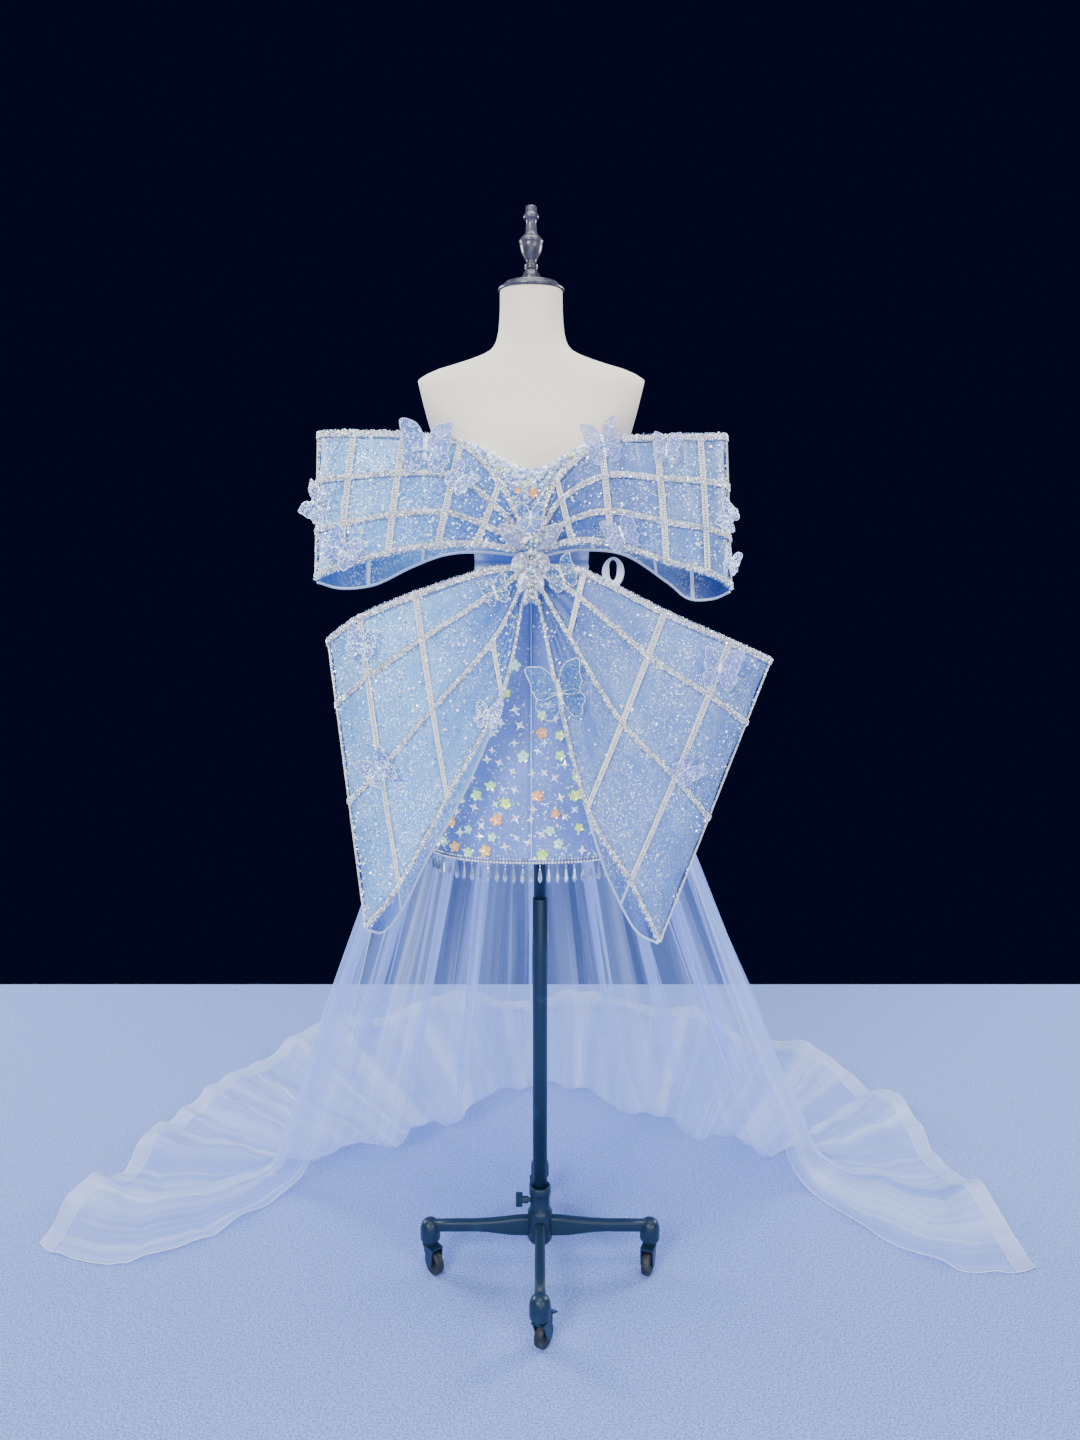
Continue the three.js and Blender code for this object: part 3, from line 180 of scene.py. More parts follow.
# A turned shape: its profile's points are radius and height, and its ends lie on the axis.
def addTurned(bm, profile, steps, matrix=Matrix()):
    part = bmesh.new()
    points = [part.verts.new((radius, 0, z)) for radius, z in profile]
    edges = [part.edges.new(pair) for pair in zip(points, points[1:])]
    bmesh.ops.spin(
        part, geom=points + edges, cent=(0, 0, 0), axis=(0, 0, 1), angle=2 * math.pi,
        steps=steps, use_merge=True,
    )
    bmesh.ops.remove_doubles(part, verts=part.verts[:], dist=1e-4)
    bmesh.ops.recalc_face_normals(part, faces=part.faces[:])
    addPart(bm, part, matrix)


def makePiece(bm, name, material, body=mainBody, replaces=(), smoothed=True):
    bmesh.ops.transform(bm, matrix=toFrame, verts=bm.verts)
    mesh = bpy.data.meshes.new(name)
    bm.to_mesh(mesh)
    bm.free()
    mesh.polygons.foreach_set("use_smooth", [smoothed] * len(mesh.polygons))
    mesh.materials.append(materials[material])
    piece = bpy.data.objects.new(name, mesh)
    bpy.context.scene.collection.objects.link(piece)
    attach(piece, body)
    if replaces:
        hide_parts(*replaces)
    return piece


def turnedPiece(name, node, material, profile, steps, place=Matrix(), body=mainBody):
    bm = bmesh.new()
    addTurned(bm, profile, steps, place)
    return makePiece(bm, name, material, body, [node])


def thicken(piece, wall, offset=1):
    solidify = piece.modifiers.new("wall", "SOLIDIFY")
    solidify.thickness = wall / 1000
    solidify.offset = offset


def soften(piece, width):
    bevel = piece.modifiers.new("edges", "BEVEL")
    bevel.width = width / 1000
    bevel.segments = 2
    bevel.limit_method = "ANGLE"
    bevel.angle_limit = math.radians(40)


# Small shapes that are sewn on by the hundred: unit size, standing on z = 0.
def smallShape(name, build):
    bm = bmesh.new()
    build(bm)
    mesh = bpy.data.meshes.new(name)
    bm.to_mesh(mesh)
    bm.free()
    mesh.attributes.new("tint", "FLOAT", "POINT")
    return mesh


def coneShape(sides, low, high, depth, middle, turn=0.0):
    return lambda bm: bmesh.ops.create_cone(
        bm, cap_ends=True, segments=sides, radius1=low, radius2=high, depth=depth,
        matrix=Matrix.Translation((0, 0, middle)) @ Matrix.Rotation(turn, 4, "Z"),
    )


def ballShape(columns, rows, radius, middle):
    return lambda bm: bmesh.ops.create_uvsphere(
        bm, u_segments=columns, v_segments=rows, radius=radius,
        matrix=Matrix.Translation((0, 0, middle)),
    )


def buildStar(bm):
    made = bmesh.ops.create_circle(bm, cap_ends=True, segments=8, radius=1)["verts"]
    for k, vert in enumerate(made):
        if k % 2:
            vert.co *= 0.36
        vert.co.z = 0.12
    top = bmesh.ops.poke(bm, faces=bm.faces[:])["verts"]
    bmesh.ops.translate(bm, verts=top, vec=(0, 0, 0.16))


def buildFlower(bm):
    for k in range(5):
        turn = Matrix.Rotation(k * 2 * math.pi / 5, 4, "Z")
        petal = Matrix.Translation((0.58, 0, 0.2 + 0.02 * k)) @ Matrix.Rotation(-0.3, 4, "Y")
        petal @= Matrix.Diagonal((0.42, 0.37, 1, 1))
        made = bmesh.ops.create_circle(
            bm, cap_ends=True, segments=7, radius=1, matrix=turn @ petal,
        )["verts"]
        face = made[0].link_faces[0]
        top = bmesh.ops.poke(bm, faces=[face])["verts"]
        bmesh.ops.translate(bm, verts=top, vec=(0, 0, -0.1))
    lifted = Matrix.Translation((0, 0, 0.2)) @ Matrix.Diagonal((0.2, 0.2, 0.16, 1))
    bmesh.ops.create_uvsphere(bm, u_segments=6, v_segments=4, radius=1, matrix=lifted)


shapes = {name: smallShape(name, build) for name, build in (
    ("stone", coneShape(6, 1, 0.5, 0.7, 0.35)),
    ("square", coneShape(4, 1.25, 0.7, 0.8, 0.4, math.pi / 4)),
    ("bead", ballShape(7, 4, 1, 0.9)),
    ("chip", ballShape(5, 2, 1.1, 0.7)),
    ("sequin", coneShape(6, 1, 0.62, 0.22, 0.15)),
    ("star", buildStar),
    ("flower", buildFlower),
)}


# Where a small shape sits: its foot at point, standing along normal.
def seat(point, normal, size, spin=0.0):
    turn = normal.to_track_quat("Z", "Y").to_matrix().to_4x4()
    across, up = size if isinstance(size, tuple) else (size, size)
    return (
        Matrix.Translation(point) @ turn @ Matrix.Rotation(spin, 4, "Z")
        @ Matrix.Diagonal((across, across, up, 1))
    )


# Sews copies of a small shape on: each seat is a matrix and its tint from 0 to 1.
def sewOn(bm, shape, seats):
    mesh = shapes[shape]
    count = len(mesh.vertices)
    rest = [0.0] * (3 * count)
    mesh.vertices.foreach_get("co", rest)
    for matrix, tint in seats:
        mesh.transform(matrix)
        mesh.attributes["tint"].data.foreach_set("value", [tint] * count)
        bm.from_mesh(mesh)
        mesh.vertices.foreach_set("co", rest)


# A piece made only of such shapes, from the seats of each.
def sewnPiece(seats, name, material, smoothed=False):
    bm = bmesh.new()
    for shape, places in seats.items():
        sewOn(bm, shape, places)
    return makePiece(bm, name, material, smoothed=smoothed)


def jitter(most):
    return Vector([random.uniform(-most, most) for _ in range(3)])


# One socket of a material's tree, with the operators that the patterns are written in.
class Wire:
    def __init__(self, tree, socket=None):
        self.tree = tree
        self.socket = socket

    def make(self, kind, settings=None, sockets=None, out=0):
        made = self.tree.nodes.new(kind)
        for name, value in (settings or {}).items():
            if name == "stops":
                ramp = made.color_ramp.elements
                while len(ramp) < len(value):
                    ramp.new(0.5)
                for stop, (place, color) in zip(ramp, value):
                    stop.position = place
                    stop.color = (*color, 1)
            else:
                setattr(made, name, value)
        for name, value in (sockets or {}).items():
            if isinstance(value, Wire):
                self.tree.links.new(value.socket, made.inputs[name])
            else:
                made.inputs[name].default_value = value
        return Wire(self.tree, made.outputs[out])

    def math(self, operation, *values):
        return self.make("ShaderNodeMath", {"operation": operation}, dict(enumerate(values)))

    def __add__(self, other):
        return self.math("ADD", self, other)

    def __sub__(self, other):
        return self.math("SUBTRACT", self, other)

    def __rsub__(self, other):
        return self.math("SUBTRACT", other, self)

    def __mul__(self, other):
        return self.math("MULTIPLY", self, other)

    __radd__ = __add__
    __rmul__ = __mul__

    def step(self, low, high):  # 0 below low and 1 above high, or the other way round
        ends = {"Value": self, "From Min": low, "From Max": high}
        return self.make("ShaderNodeMapRange", {"interpolation_type": "SMOOTHSTEP"}, ends)

    def tint(self, low, high):  # a colour from low to high
        ends = {0: self, 6: asColor(low), 7: asColor(high)}
        return self.make("ShaderNodeMix", {"data_type": "RGBA"}, ends, 2)

    def ramp(self, *stops):
        return self.make("ShaderNodeValToRGB", {"stops": stops}, {"Fac": self})

    def place(self):
        return self.make("ShaderNodeTexCoord", out="Object")

    def cloth(self):
        return self.make("ShaderNodeUVMap", {"uv_map": "cloth"})

    def scaled(self, x, y, z=1.0):
        return self.make("ShaderNodeMapping", None, {"Vector": self, "Scale": (x, y, z)})

    def part(self, axis):
        return self.make("ShaderNodeSeparateXYZ", None, {"Vector": self}, axis)

    def noise(self, scale, detail=2.0, rough=0.5):
        values = {"Vector": self, "Scale": scale, "Detail": detail, "Roughness": rough}
        return self.make("ShaderNodeTexNoise", None, values)

    def cells(self, scale, out="Distance", feature="F1"):
        values = {"Vector": self, "Scale": scale}
        return self.make("ShaderNodeTexVoronoi", {"feature": feature}, values, out)

    def wave(self, scale, axis):
        settings = {"bands_direction": axis, "wave_profile": "SIN"}
        return self.make("ShaderNodeTexWave", settings, {"Vector": self, "Scale": scale})

    def tag(self, name):
        return self.make("ShaderNodeAttribute", {"attribute_name": name}, out="Fac")

    def bump(self, height, strength, distance):
        values = {"Height": height, "Strength": strength, "Distance": distance}
        return self.make("ShaderNodeBump", None, values)


def asColor(value):
    return value if isinstance(value, Wire) else (*value, 1)


# A material: fixed values on the shader's sockets, and what look(wire) gives for the rest.
def makeMaterial(name, fixed, look):
    made = bpy.data.materials.new(name)
    made.use_nodes = True
    shader = made.node_tree.nodes["Principled BSDF"]
    for socket, value in fixed.items():
        shader.inputs[socket].default_value = value
    for socket, wire in look(Wire(made.node_tree)).items():
        made.node_tree.links.new(wire.socket, shader.inputs[socket])
    return made


def lookJersey(wire):
    place = wire.place()
    blotch = place.noise(9, 3)
    knit = place.scaled(1, 1, 1.6).cells(1500)
    color = blotch.tint((0.90, 0.78, 0.60), (0.98, 0.88, 0.72))
    return {
        "Base Color": color,
        "Roughness": 0.78 + 0.12 * blotch,
        "Normal": wire.bump(knit * 0.4 + place.noise(260) * 0.6, 0.35, 0.0004),
    }


def lookLacquer(wire):
    place = wire.place()
    grain = place.scaled(1, 1, 0.3).noise(120, 4)
    return {
        "Base Color": grain.step(0.3, 0.75).tint((0.030, 0.028, 0.045), (0.085, 0.078, 0.115)),
        "Roughness": 0.3 + 0.15 * place.noise(30),
        "Normal": wire.bump(grain, 0.05, 0.0004),
    }


def lookStandPaint(wire):
    place = wire.place()
    worn = place.noise(35, 4).step(0.56, 0.8)
    return {
        "Base Color": worn.tint((0.006, 0.024, 0.052), (0.016, 0.055, 0.10)),
        "Roughness": 0.3 + 0.2 * place.noise(140),
        "Normal": wire.bump(place.noise(420, 3), 0.14, 0.0005),
    }


def lookRubber(wire):
    place = wire.place()
    dust = place.noise(90, 4).step(0.45, 0.8)
    return {
        "Base Color": dust.tint((0.012, 0.014, 0.018), (0.06, 0.065, 0.075)),
        "Roughness": 0.5 + 0.3 * dust,
        "Normal": wire.bump(place.noise(700), 0.2, 0.0003),
    }


def lookSteel(wire):
    place = wire.place()
    brushed = place.scaled(1, 1, 12).noise(300, 3)
    return {
        "Base Color": brushed.tint((0.58, 0.60, 0.63), (0.82, 0.83, 0.85)),
        "Roughness": 0.16 + 0.2 * brushed,
    }


# Blue-lilac satin under the sequins, with a fine scatter of glitter.
def lookDressSatin(wire):
    place, cloth = wire.place(), wire.cloth()
    shade = place.noise(14, 3)
    weave = cloth.scaled(1, 0.25).noise(2600, 1)
    fleck = cloth.cells(520)
    lit = cloth.cells(520, "Color").part(0)
    spark = fleck.step(0.34, 0.22) * lit.step(0.62, 0.66)
    base = shade.tint((0.10, 0.19, 0.58), (0.20, 0.32, 0.76))
    return {
        "Base Color": spark.tint(base, (0.80, 0.88, 1.0)),
        "Roughness": 0.42 - 0.26 * spark,
        "Metallic": 0.5 * spark,
        "Normal": wire.bump(weave * 0.3 + spark, 0.5, 0.0005),
    }


# Stiff organza with glitter: nearly white with flecks outside, with a blue that deepens towards the
# knot as painted shade, and glitter that thins there.
def lookOrganza(dense, deep, pale):
    def look(wire):
        cloth = wire.cloth()
        out = cloth.part(0)
        # shade mixes tone that varies at random with painted shade that deepens the blue towards
        # the knot
        shade = cloth.noise(11, 4) * 0.5 + out.step(0.0, 0.32) * 0.7
        cloud = cloth.noise(26, 3)
        fine = cloth.cells(760, "Color").part(1).step(0.62, 0.66) * cloud.step(0.3, 0.6)
        fleck = cloth.cells(400).step(0.36, 0.22)
        chosen = cloth.cells(400, "Color").part(0).step(0.99 - dense, 1.0 - dense)
        patch = cloth.noise(14, 2).step(0.36, 0.6) * 0.8 + 0.2
        away = out.step(0.03, 0.24) * 0.8 + 0.2
        coarse = cloth.cells(215).step(0.3, 0.18)
        coarse *= cloth.cells(215, "Color").part(2).step(0.99 - dense * 0.45, 1.0 - dense * 0.45)
        spark = (fleck * chosen * patch + coarse * patch).step(0, 1) * away
        glow = spark + (1 - spark) * fine * away * 0.42
        base = shade.step(0.15, 0.95).tint(deep, pale)
        weave = cloth.noise(3000, 1)
        return {
            "Base Color": glow.tint(base, (0.82, 0.93, 1.0)),
            "Roughness": 0.46 - 0.28 * spark,
            "Metallic": 0.35 * spark,
            "Alpha": 0.74 + 0.26 * glow,
            # the glitter flecks glow: painted glints
            "Emission Color": spark.tint((0, 0, 0), (0.75, 0.88, 1.0)),
            "Normal": wire.bump(weave * 0.25 + glow, 0.45, 0.0005),
        }
    return look


# Sheer tulle: a net, gathered into denser streaks that run down the cloth.
def lookTulle(thin, full):
    def look(wire):
        cloth = wire.cloth()
        streak = cloth.scaled(19, 0.45).noise(1, 3, 0.55).step(0.42, 0.68)
        broad = cloth.scaled(5, 0.4).noise(1, 2).step(0.35, 0.65)
        net = cloth.cells(760, feature="DISTANCE_TO_EDGE").step(0.22, 0.05)
        crisp = cloth.scaled(58, 0.5).noise(1, 2).step(0.58, 0.68)
        gathered = streak * 0.4 + broad * 0.3 + crisp * 0.3
        return {
            "Base Color": gathered.tint((0.30, 0.44, 1.0), (0.72, 0.80, 1.0)),
            "Roughness": 0.5 + 0.2 * net,
            "Alpha": (thin + (full - thin) * gathered) * (0.86 + 0.28 * net),
            "Normal": wire.bump(net, 0.2, 0.0003),
        }
    return look


def lookCrin(wire):
    cloth = wire.cloth()
    thread = cloth.wave(300, "Y")
    return {
        "Base Color": thread.tint((0.42, 0.55, 1.0), (0.74, 0.83, 1.0)),
        "Roughness": 0.3 + 0.2 * thread,
        "Alpha": 0.32 + 0.4 * thread * cloth.noise(120, 2),
        "Normal": wire.bump(thread, 0.3, 0.0004),
    }


def lookSatin(low, high):
    def look(wire):
        place = wire.place()
        fall = place.scaled(1, 1, 0.2).noise(60, 3)
        thread = place.noise(1800, 1)
        return {
            "Base Color": fall.tint(low, high),
            "Roughness": 0.3 + 0.16 * fall,
            "Normal": wire.bump(thread * 0.4 + fall * 0.6, 0.3, 0.0006),
        }
    return look


# Beads and stones take their colour from the tint they were sewn on with, and those tinted above
# about one half glow in that colour: painted sparkle.
def lookStones(*stops):
    def look(wire):
        tint = wire.tag("tint")
        cloud = wire.place().noise(500, 2)
        color = (tint * 0.92 + cloud * 0.08).ramp(*stops)
        return {
            "Base Color": color,
            "Roughness": 0.12 + 0.2 * cloud,
            "Coat Weight": 0.3 + 0.5 * tint,
            # painted sparkle: a glow in the stone's own colour
            "Emission Color": tint.step(0.5, 0.75).tint((0, 0, 0), color),
        }
    return look


# Clear crystal drops, painted in patches from dark blue to near white that stand for the
# reflections and glints on their facets.
def lookDrops(wire):
    place = wire.place()
    facetGlint = place.scaled(1, 1, 0.35).cells(300, "Color").part(0)
    return {
        "Base Color": facetGlint.tint((0.30, 0.42, 0.72), (0.95, 0.98, 1.0)),
        "Roughness": 0.06 + 0.14 * facetGlint,
    }


def lookTrimBase(wire):
    place = wire.place()
    knots = place.cells(420)
    rows = place.cells(420, "Color").part(2)
    return {
        "Base Color": rows.tint((0.17, 0.19, 0.32), (0.66, 0.65, 0.68)),
        "Roughness": 0.25 + 0.3 * knots,
        "Metallic": 0.4 * rows,
        "Normal": wire.bump(1 - knots, 0.8, 0.0012),
    }


def lookWing(low, high, clear):
    def look(wire):
        place = wire.place()
        vein = place.noise(210, 4).step(0.52, 0.6)
        fleck = place.cells(620).step(0.3, 0.18) * place.cells(620, "Color").part(0).step(0.5, 0.55)
        return {
            "Base Color": fleck.tint(vein.tint(low, high), (0.9, 0.96, 1.0)),
            "Roughness": 0.35 - 0.2 * fleck,
            "Alpha": clear + (1 - clear) * (fleck * 0.8 + vein * 0.2),
            "Normal": wire.bump(vein, 0.4, 0.0005),
        }
    return look


# The dark grey and white ends of the ivory ramp stand partly for the glints of silvery crushed
# beads, a painted reflection.
ivoryStops = (
    (0.0, (0.22, 0.24, 0.36)), (0.2, (0.64, 0.63, 0.66)), (0.4, (1.0, 0.97, 0.92)),
    (0.72, (1.0, 0.97, 0.84)), (0.86, (0.50, 0.78, 1.0)), (1.0, (1.0, 0.74, 0.36)),
)
sequinStops = (
    (0.0, (0.30, 0.42, 0.90)), (0.3, (0.75, 0.86, 1.0)), (0.62, (1.0, 1.0, 1.0)),
    (0.74, (0.40, 0.84, 0.92)), (0.84, (0.64, 0.90, 0.08)), (1.0, (1.0, 0.22, 0.16)),
)
blueStops = (
    (0.0, (0.10, 0.30, 0.70)), (0.35, (0.40, 0.66, 1.0)), (0.6, (0.84, 0.93, 1.0)),
    (1.0, (1.0, 1.0, 1.0)),
)
# The emission strength here gives the stones their painted sparkle.
stoneFixed = {"Metallic": 0.4, "IOR": 1.6, "Coat Roughness": 0.05, "Emission Strength": 0.7}
materials = {name: makeMaterial(name, fixed, look) for name, fixed, look in (
    ("jersey", {"Sheen Weight": 0.25}, lookJersey),
    ("lacquer", {"Coat Weight": 0.5, "Coat Roughness": 0.2}, lookLacquer),
    ("standPaint", {"Metallic": 0.15}, lookStandPaint),
    ("rubber", {}, lookRubber),
    ("steel", {"Metallic": 1.0}, lookSteel),
    ("dressSatin", {"Sheen Weight": 0.3}, lookDressSatin),
    # The right loops' organza is a darker copy of the left loops', with less glitter and a weaker
    # glow: painted shade on the right, and painted glints on both.
    ("organzaLeft", {"Emission Strength": 1.2},
     lookOrganza(0.62, (0.03, 0.14, 0.56), (0.20, 0.54, 1.0))),
    ("organzaRight", {"Emission Strength": 0.9},
     lookOrganza(0.36, (0.02, 0.08, 0.38), (0.18, 0.34, 0.76))),
    # The tulle glows a faint blue of its own: painted light.
    ("tulle", {"Emission Color": (0.34, 0.54, 1.0, 1), "Emission Strength": 0.3},
     lookTulle(0.28, 0.72)),
    ("crin", {}, lookCrin),
    ("blueSatin", {"Sheen Weight": 0.3}, lookSatin((0.12, 0.22, 0.62), (0.24, 0.38, 0.82))),
    ("whiteSatin", {"Sheen Weight": 0.3}, lookSatin((0.62, 0.72, 0.92), (0.86, 0.91, 1.0))),
    ("trimBase", {}, lookTrimBase),
    ("ivoryStones", stoneFixed, lookStones(*ivoryStops)),
    ("drops", {"Metallic": 0.55, "Coat Weight": 0.5}, lookDrops),
    ("sequins", stoneFixed, lookStones(*sequinStops)),
    ("blueStones", stoneFixed, lookStones(*blueStops)),
    ("wing", {"Sheen Weight": 0.2}, lookWing((0.12, 0.20, 0.62), (0.38, 0.48, 0.94), 0.82)),
    ("lilacWing", {"Sheen Weight": 0.2}, lookWing((0.20, 0.24, 0.68), (0.50, 0.54, 0.98), 0.62)),
    ("clearWing", {"Sheen Weight": 0.2}, lookWing((0.02, 0.15, 0.44), (0.05, 0.28, 0.62), 0.5)),
    ("silverWing", {"Metallic": 0.35}, lookWing((0.34, 0.38, 0.52), (0.84, 0.82, 0.90), 0.94)),
)}
print("made the materials")

stageSet = {"half": 4.0, "front": -4.2, "back": 0.85}
floorBm = bmesh.new()
bmesh.ops.create_grid(floorBm, x_segments=1, y_segments=1, size=0.5)
for vert in floorBm.verts:
    side = stageSet["back"] if vert.co.y > 0 else stageSet["front"]
    vert.co = (2 * vert.co.x * stageSet["half"], side, 0)
floorMesh = bpy.data.meshes.new("floor")
floorBm.to_mesh(floorMesh)
floorBm.free()
floor = bpy.data.objects.new("floor", floorMesh)
bpy.context.scene.collection.objects.link(floor)
floorMesh.materials.append(makeMaterial("floor", {}, lambda wire: {
    "Base Color": wire.place().noise(300, 4, 0.75).step(0.36, 0.64).tint(
        (0.09, 0.17, 0.54), (0.34, 0.46, 0.92)),
    "Roughness": 0.8 + 0.15 * wire.place().noise(90),
    "Normal": wire.bump(wire.place().noise(220, 3), 0.3, 0.002),
}))
floor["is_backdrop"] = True

world = bpy.data.worlds.new("world")
world.use_nodes = True
world.node_tree.nodes["Background"].inputs["Color"].default_value = (0.0006, 0.0022, 0.019, 1)
bpy.context.scene.world = world

lights = table("name x y z aimZ size power", [
    ("key", -1.7, -3.4, 3.0, 1.0, 1.5, 175),
    ("fill", 2.2, -3.2, 2.1, 0.9, 2.0, 85),
    ("low", 0.2, -3.2, 0.7, 0.6, 1.6, 22),
    ("top", 0.0, -0.3, 3.9, 0.0, 2.6, 115),
    ("backLeft", -2.6, 1.5, 1.9, 0.7, 1.3, 85),
    ("backRight", 2.6, 1.5, 1.9, 0.7, 1.3, 85),
])
for row in lights:
    data = bpy.data.lights.new(row["name"], "AREA")
    data.shape = "DISK"
    data.size = row["size"]
    data.energy = row["power"]
    data.color = (0.93, 0.96, 1.0)
    light = bpy.data.objects.new(row["name"], data)
    light.location = (poleX + row["x"], poleY + row["y"], row["z"])
    aim = Vector((poleX, poleY + 0.15, row["aimZ"])) - light.location
    light.rotation_euler = aim.to_track_quat("-Z", "Y").to_euler()
    bpy.context.scene.collection.objects.link(light)
print("made the stage and the lights")

body = {
    "axisX": -14, "round": 2.3, "waistZ": 1290, "hipZ": 1090, "hemZ": 812,
    "hem": (176, 127, 122), "gap": 0.3,
    "bust": {"height": 10, "z": 1438, "angle": 30, "spreadZ": 42, "spreadAngle": 19},
}
sections = table("z halfWidth front back", [
    (1719, 50, 50, 50), (1680, 51, 51, 51), (1642, 57, 55, 56), (1624, 72, 58, 62),
    (1609, 112, 61, 72), (1595, 160, 64, 82), (1578, 187, 70, 90), (1555, 188, 78, 95),
    (1530, 181, 88, 98), (1500, 164, 101, 98), (1470, 148, 108, 95), (1440, 139, 109, 91),
    (1400, 126, 104, 86), (1360, 111, 95, 82), (1322, 96, 86, 79), (1290, 92, 82, 79),
    (1260, 97, 85, 84), (1225, 113, 92, 93), (1185, 134, 99, 103), (1140, 151, 104, 112),
    (1090, 161, 106, 116), (1020, 163, 107, 113), (950, 161, 106, 107), (890, 154, 101, 100),
    (870, 146, 95, 94), (862, 130, 84, 83),
])
neckline = table("angle z", [
    (0, 1431), (10, 1441), (25, 1463), (40, 1476), (60, 1477), (90, 1470), (130, 1452),
    (180, 1440),
])


@functools.lru_cache(maxsize=None)
def sectionAt(z):
    return tuple(along(sections, "z", name, z) for name in ("halfWidth", "front", "back"))


@functools.lru_cache(maxsize=None)
def dressSectionAt(z):  # follows the form to the hip and then flares to the hem
    if z >= body["hipZ"]:
        return sectionAt(z)
    share = (body["hipZ"] - z) / (body["hipZ"] - body["hemZ"])
    return tuple(mix(a, b, share) for a, b in zip(sectionAt(body["hipZ"]), body["hem"]))


def ovalPoint(section, angle, z):  # angle is from the centre front towards +X
    halfWidth, front, back = section
    power = 2 / body["round"]
    sine, cosine = math.sin(math.radians(angle)), math.cos(math.radians(angle))
    x = math.copysign(abs(sine) ** power, sine) * halfWidth
    y = -math.copysign(abs(cosine) ** power, cosine) * (front if cosine > 0 else back)
    side = (angle + 180) % 360 - 180
    bust = body["bust"]
    offAngle = (abs(side) - bust["angle"]) / bust["spreadAngle"]
    offHeight = (z - bust["z"]) / bust["spreadZ"]
    y -= bust["height"] * math.exp(-offAngle ** 2 - offHeight ** 2)
    return Vector((body["axisX"] + x, y, z))


def bodyPoint(sectionOf, angle, z, lift):
    point = ovalPoint(sectionOf(z), angle, z)
    if not lift:
        return point
    across = ovalPoint(sectionOf(z), angle + 0.5, z) - ovalPoint(sectionOf(z), angle - 0.5, z)
    up = ovalPoint(sectionOf(z + 2), angle, z + 2) - ovalPoint(sectionOf(z - 2), angle, z - 2)
    return point + across.cross(up).normalized() * lift


def dressPoint(angle, z, lift=0.0):
    return bodyPoint(dressSectionAt, angle, z, lift)


def dressNormal(angle, z):
    return dressPoint(angle, z, 1) - dressPoint(angle, z)


def angleOff(distance, z):  # where the dress is a distance from the centre line
    share = distance / dressSectionAt(z)[0]
    return math.degrees(math.asin(share ** (body["round"] / 2)))


def necklineAt(angle):
    return along(neckline, "angle", "z", min(abs(angle), 180))


form = {"topZ": 1719, "bottomZ": 862, "armX": 180, "armZ": 1590, "armSlope": 0.2545, "plate": 4}
tilt = math.atan(form["armSlope"])


def formBlank():
    bm = bmesh.new()

    def pointAt(u, v):
        z = mix(form["topZ"], form["bottomZ"], v)
        return ovalPoint(sectionAt(z), 360 * u, z)

    addTube(bm, 108, 120, pointAt, (1.0, 0.86), flip=True)
    return bm


# Keeps what lies between two distances from an arm's cut plane.
def cutArm(bm, side, near=None, far=None):
    out = Vector((side * math.cos(tilt), 0, -math.sin(tilt)))
    foot = Vector((body["axisX"] + side * form["armX"], 0, form["armZ"]))
    for distance, clear in ((near, "clear_inner"), (far, "clear_outer")):
        if distance is None:
            continue
        bmesh.ops.bisect_plane(
            bm, geom=bm.verts[:] + bm.edges[:] + bm.faces[:], dist=1e-4,
            plane_co=foot + out * distance, plane_no=out, **{clear: True},
        )
        bmesh.ops.holes_fill(bm, edges=[e for e in bm.edges if e.is_boundary], sides=0)


torso = formBlank()
for side in (-1, 1):
    cutArm(torso, side, far=0)
soften(makePiece(torso, "torso", "jersey", replaces=["form_torso"]), 1.5)
for side, name in ((-1, "left"), (1, "right")):
    plate = formBlank()
    cutArm(plate, side, body["gap"], body["gap"] + form["plate"])
    made = makePiece(
        plate, f"armPlate.{name}", "jersey",
        replaces=[f"form_arm_plate_{name}"],
    )
    soften(made, 1.2)

seams = bmesh.new()  # the form's side and centre back seams
for angle in (-90, 90, 180):
    def seamPoint(u, v, angle=angle):
        z = mix(1500 if abs(angle) == 90 else 1700, 880, v)
        return bodyPoint(sectionAt, angle + math.degrees((u - 0.5) * 3 / 100), z, 0.35)
    addGrid(seams, 1, 90, seamPoint, (0.003, 0.8), flip=True)
makePiece(seams, "formSeams", "jersey")

neckTop = form["topZ"] + body["gap"]
finial = {
    "cap": [
        (0, 0), (51, 0), (52.6, 1), (53.4, 3), (53, 5.2), (50.4, 7), (46.6, 8.2), (45.2, 9.4),
        (45, 11), (43.6, 12.6), (40, 13.8), (36, 14.6), (24, 15.4), (14, 16), (0, 16),
    ],
    "knob": [
        (0, 0), (13.6, 0), (14.6, 1.4), (15, 4.6), (14.4, 8), (12.8, 12), (10.6, 15.4), (9.2, 17.2),
        (9.4, 18), (10.5, 19), (10.9, 20.6), (10.3, 22), (10.3, 23), (10.8, 24), (10.4, 26),
        (8.6, 27.6), (7.8, 29.2), (8.4, 31.4), (10.4, 35), (13.4, 39.6), (15.6, 44), (17.4, 51),
        (18.2, 56), (17.8, 57.2), (18.9, 58.2), (19.5, 60.6), (18.6, 63.4), (16.4, 66),
        (13.4, 68.6), (11.2, 71), (9.6, 74), (8.8, 78), (8.2, 86), (8.2, 92), (9.4, 93.4),
        (11.6, 94.6), (12.5, 97), (12.2, 99.4), (10.6, 102), (9.4, 104), (9, 110),
        (8.8, 112.4), (8, 113.7), (0, 113.7),
    ],
    "flange": [(0, 0), (20, 0), (34, 2.6), (38, 4.4), (38, 7.4), (37.4, 8), (0, 8)],
}
capHeight, flangeHeight = finial["cap"][-1][1], finial["flange"][-1][1]
knobZ = neckTop + capHeight + body["gap"]
flangeZ = form["bottomZ"] - body["gap"] - flangeHeight
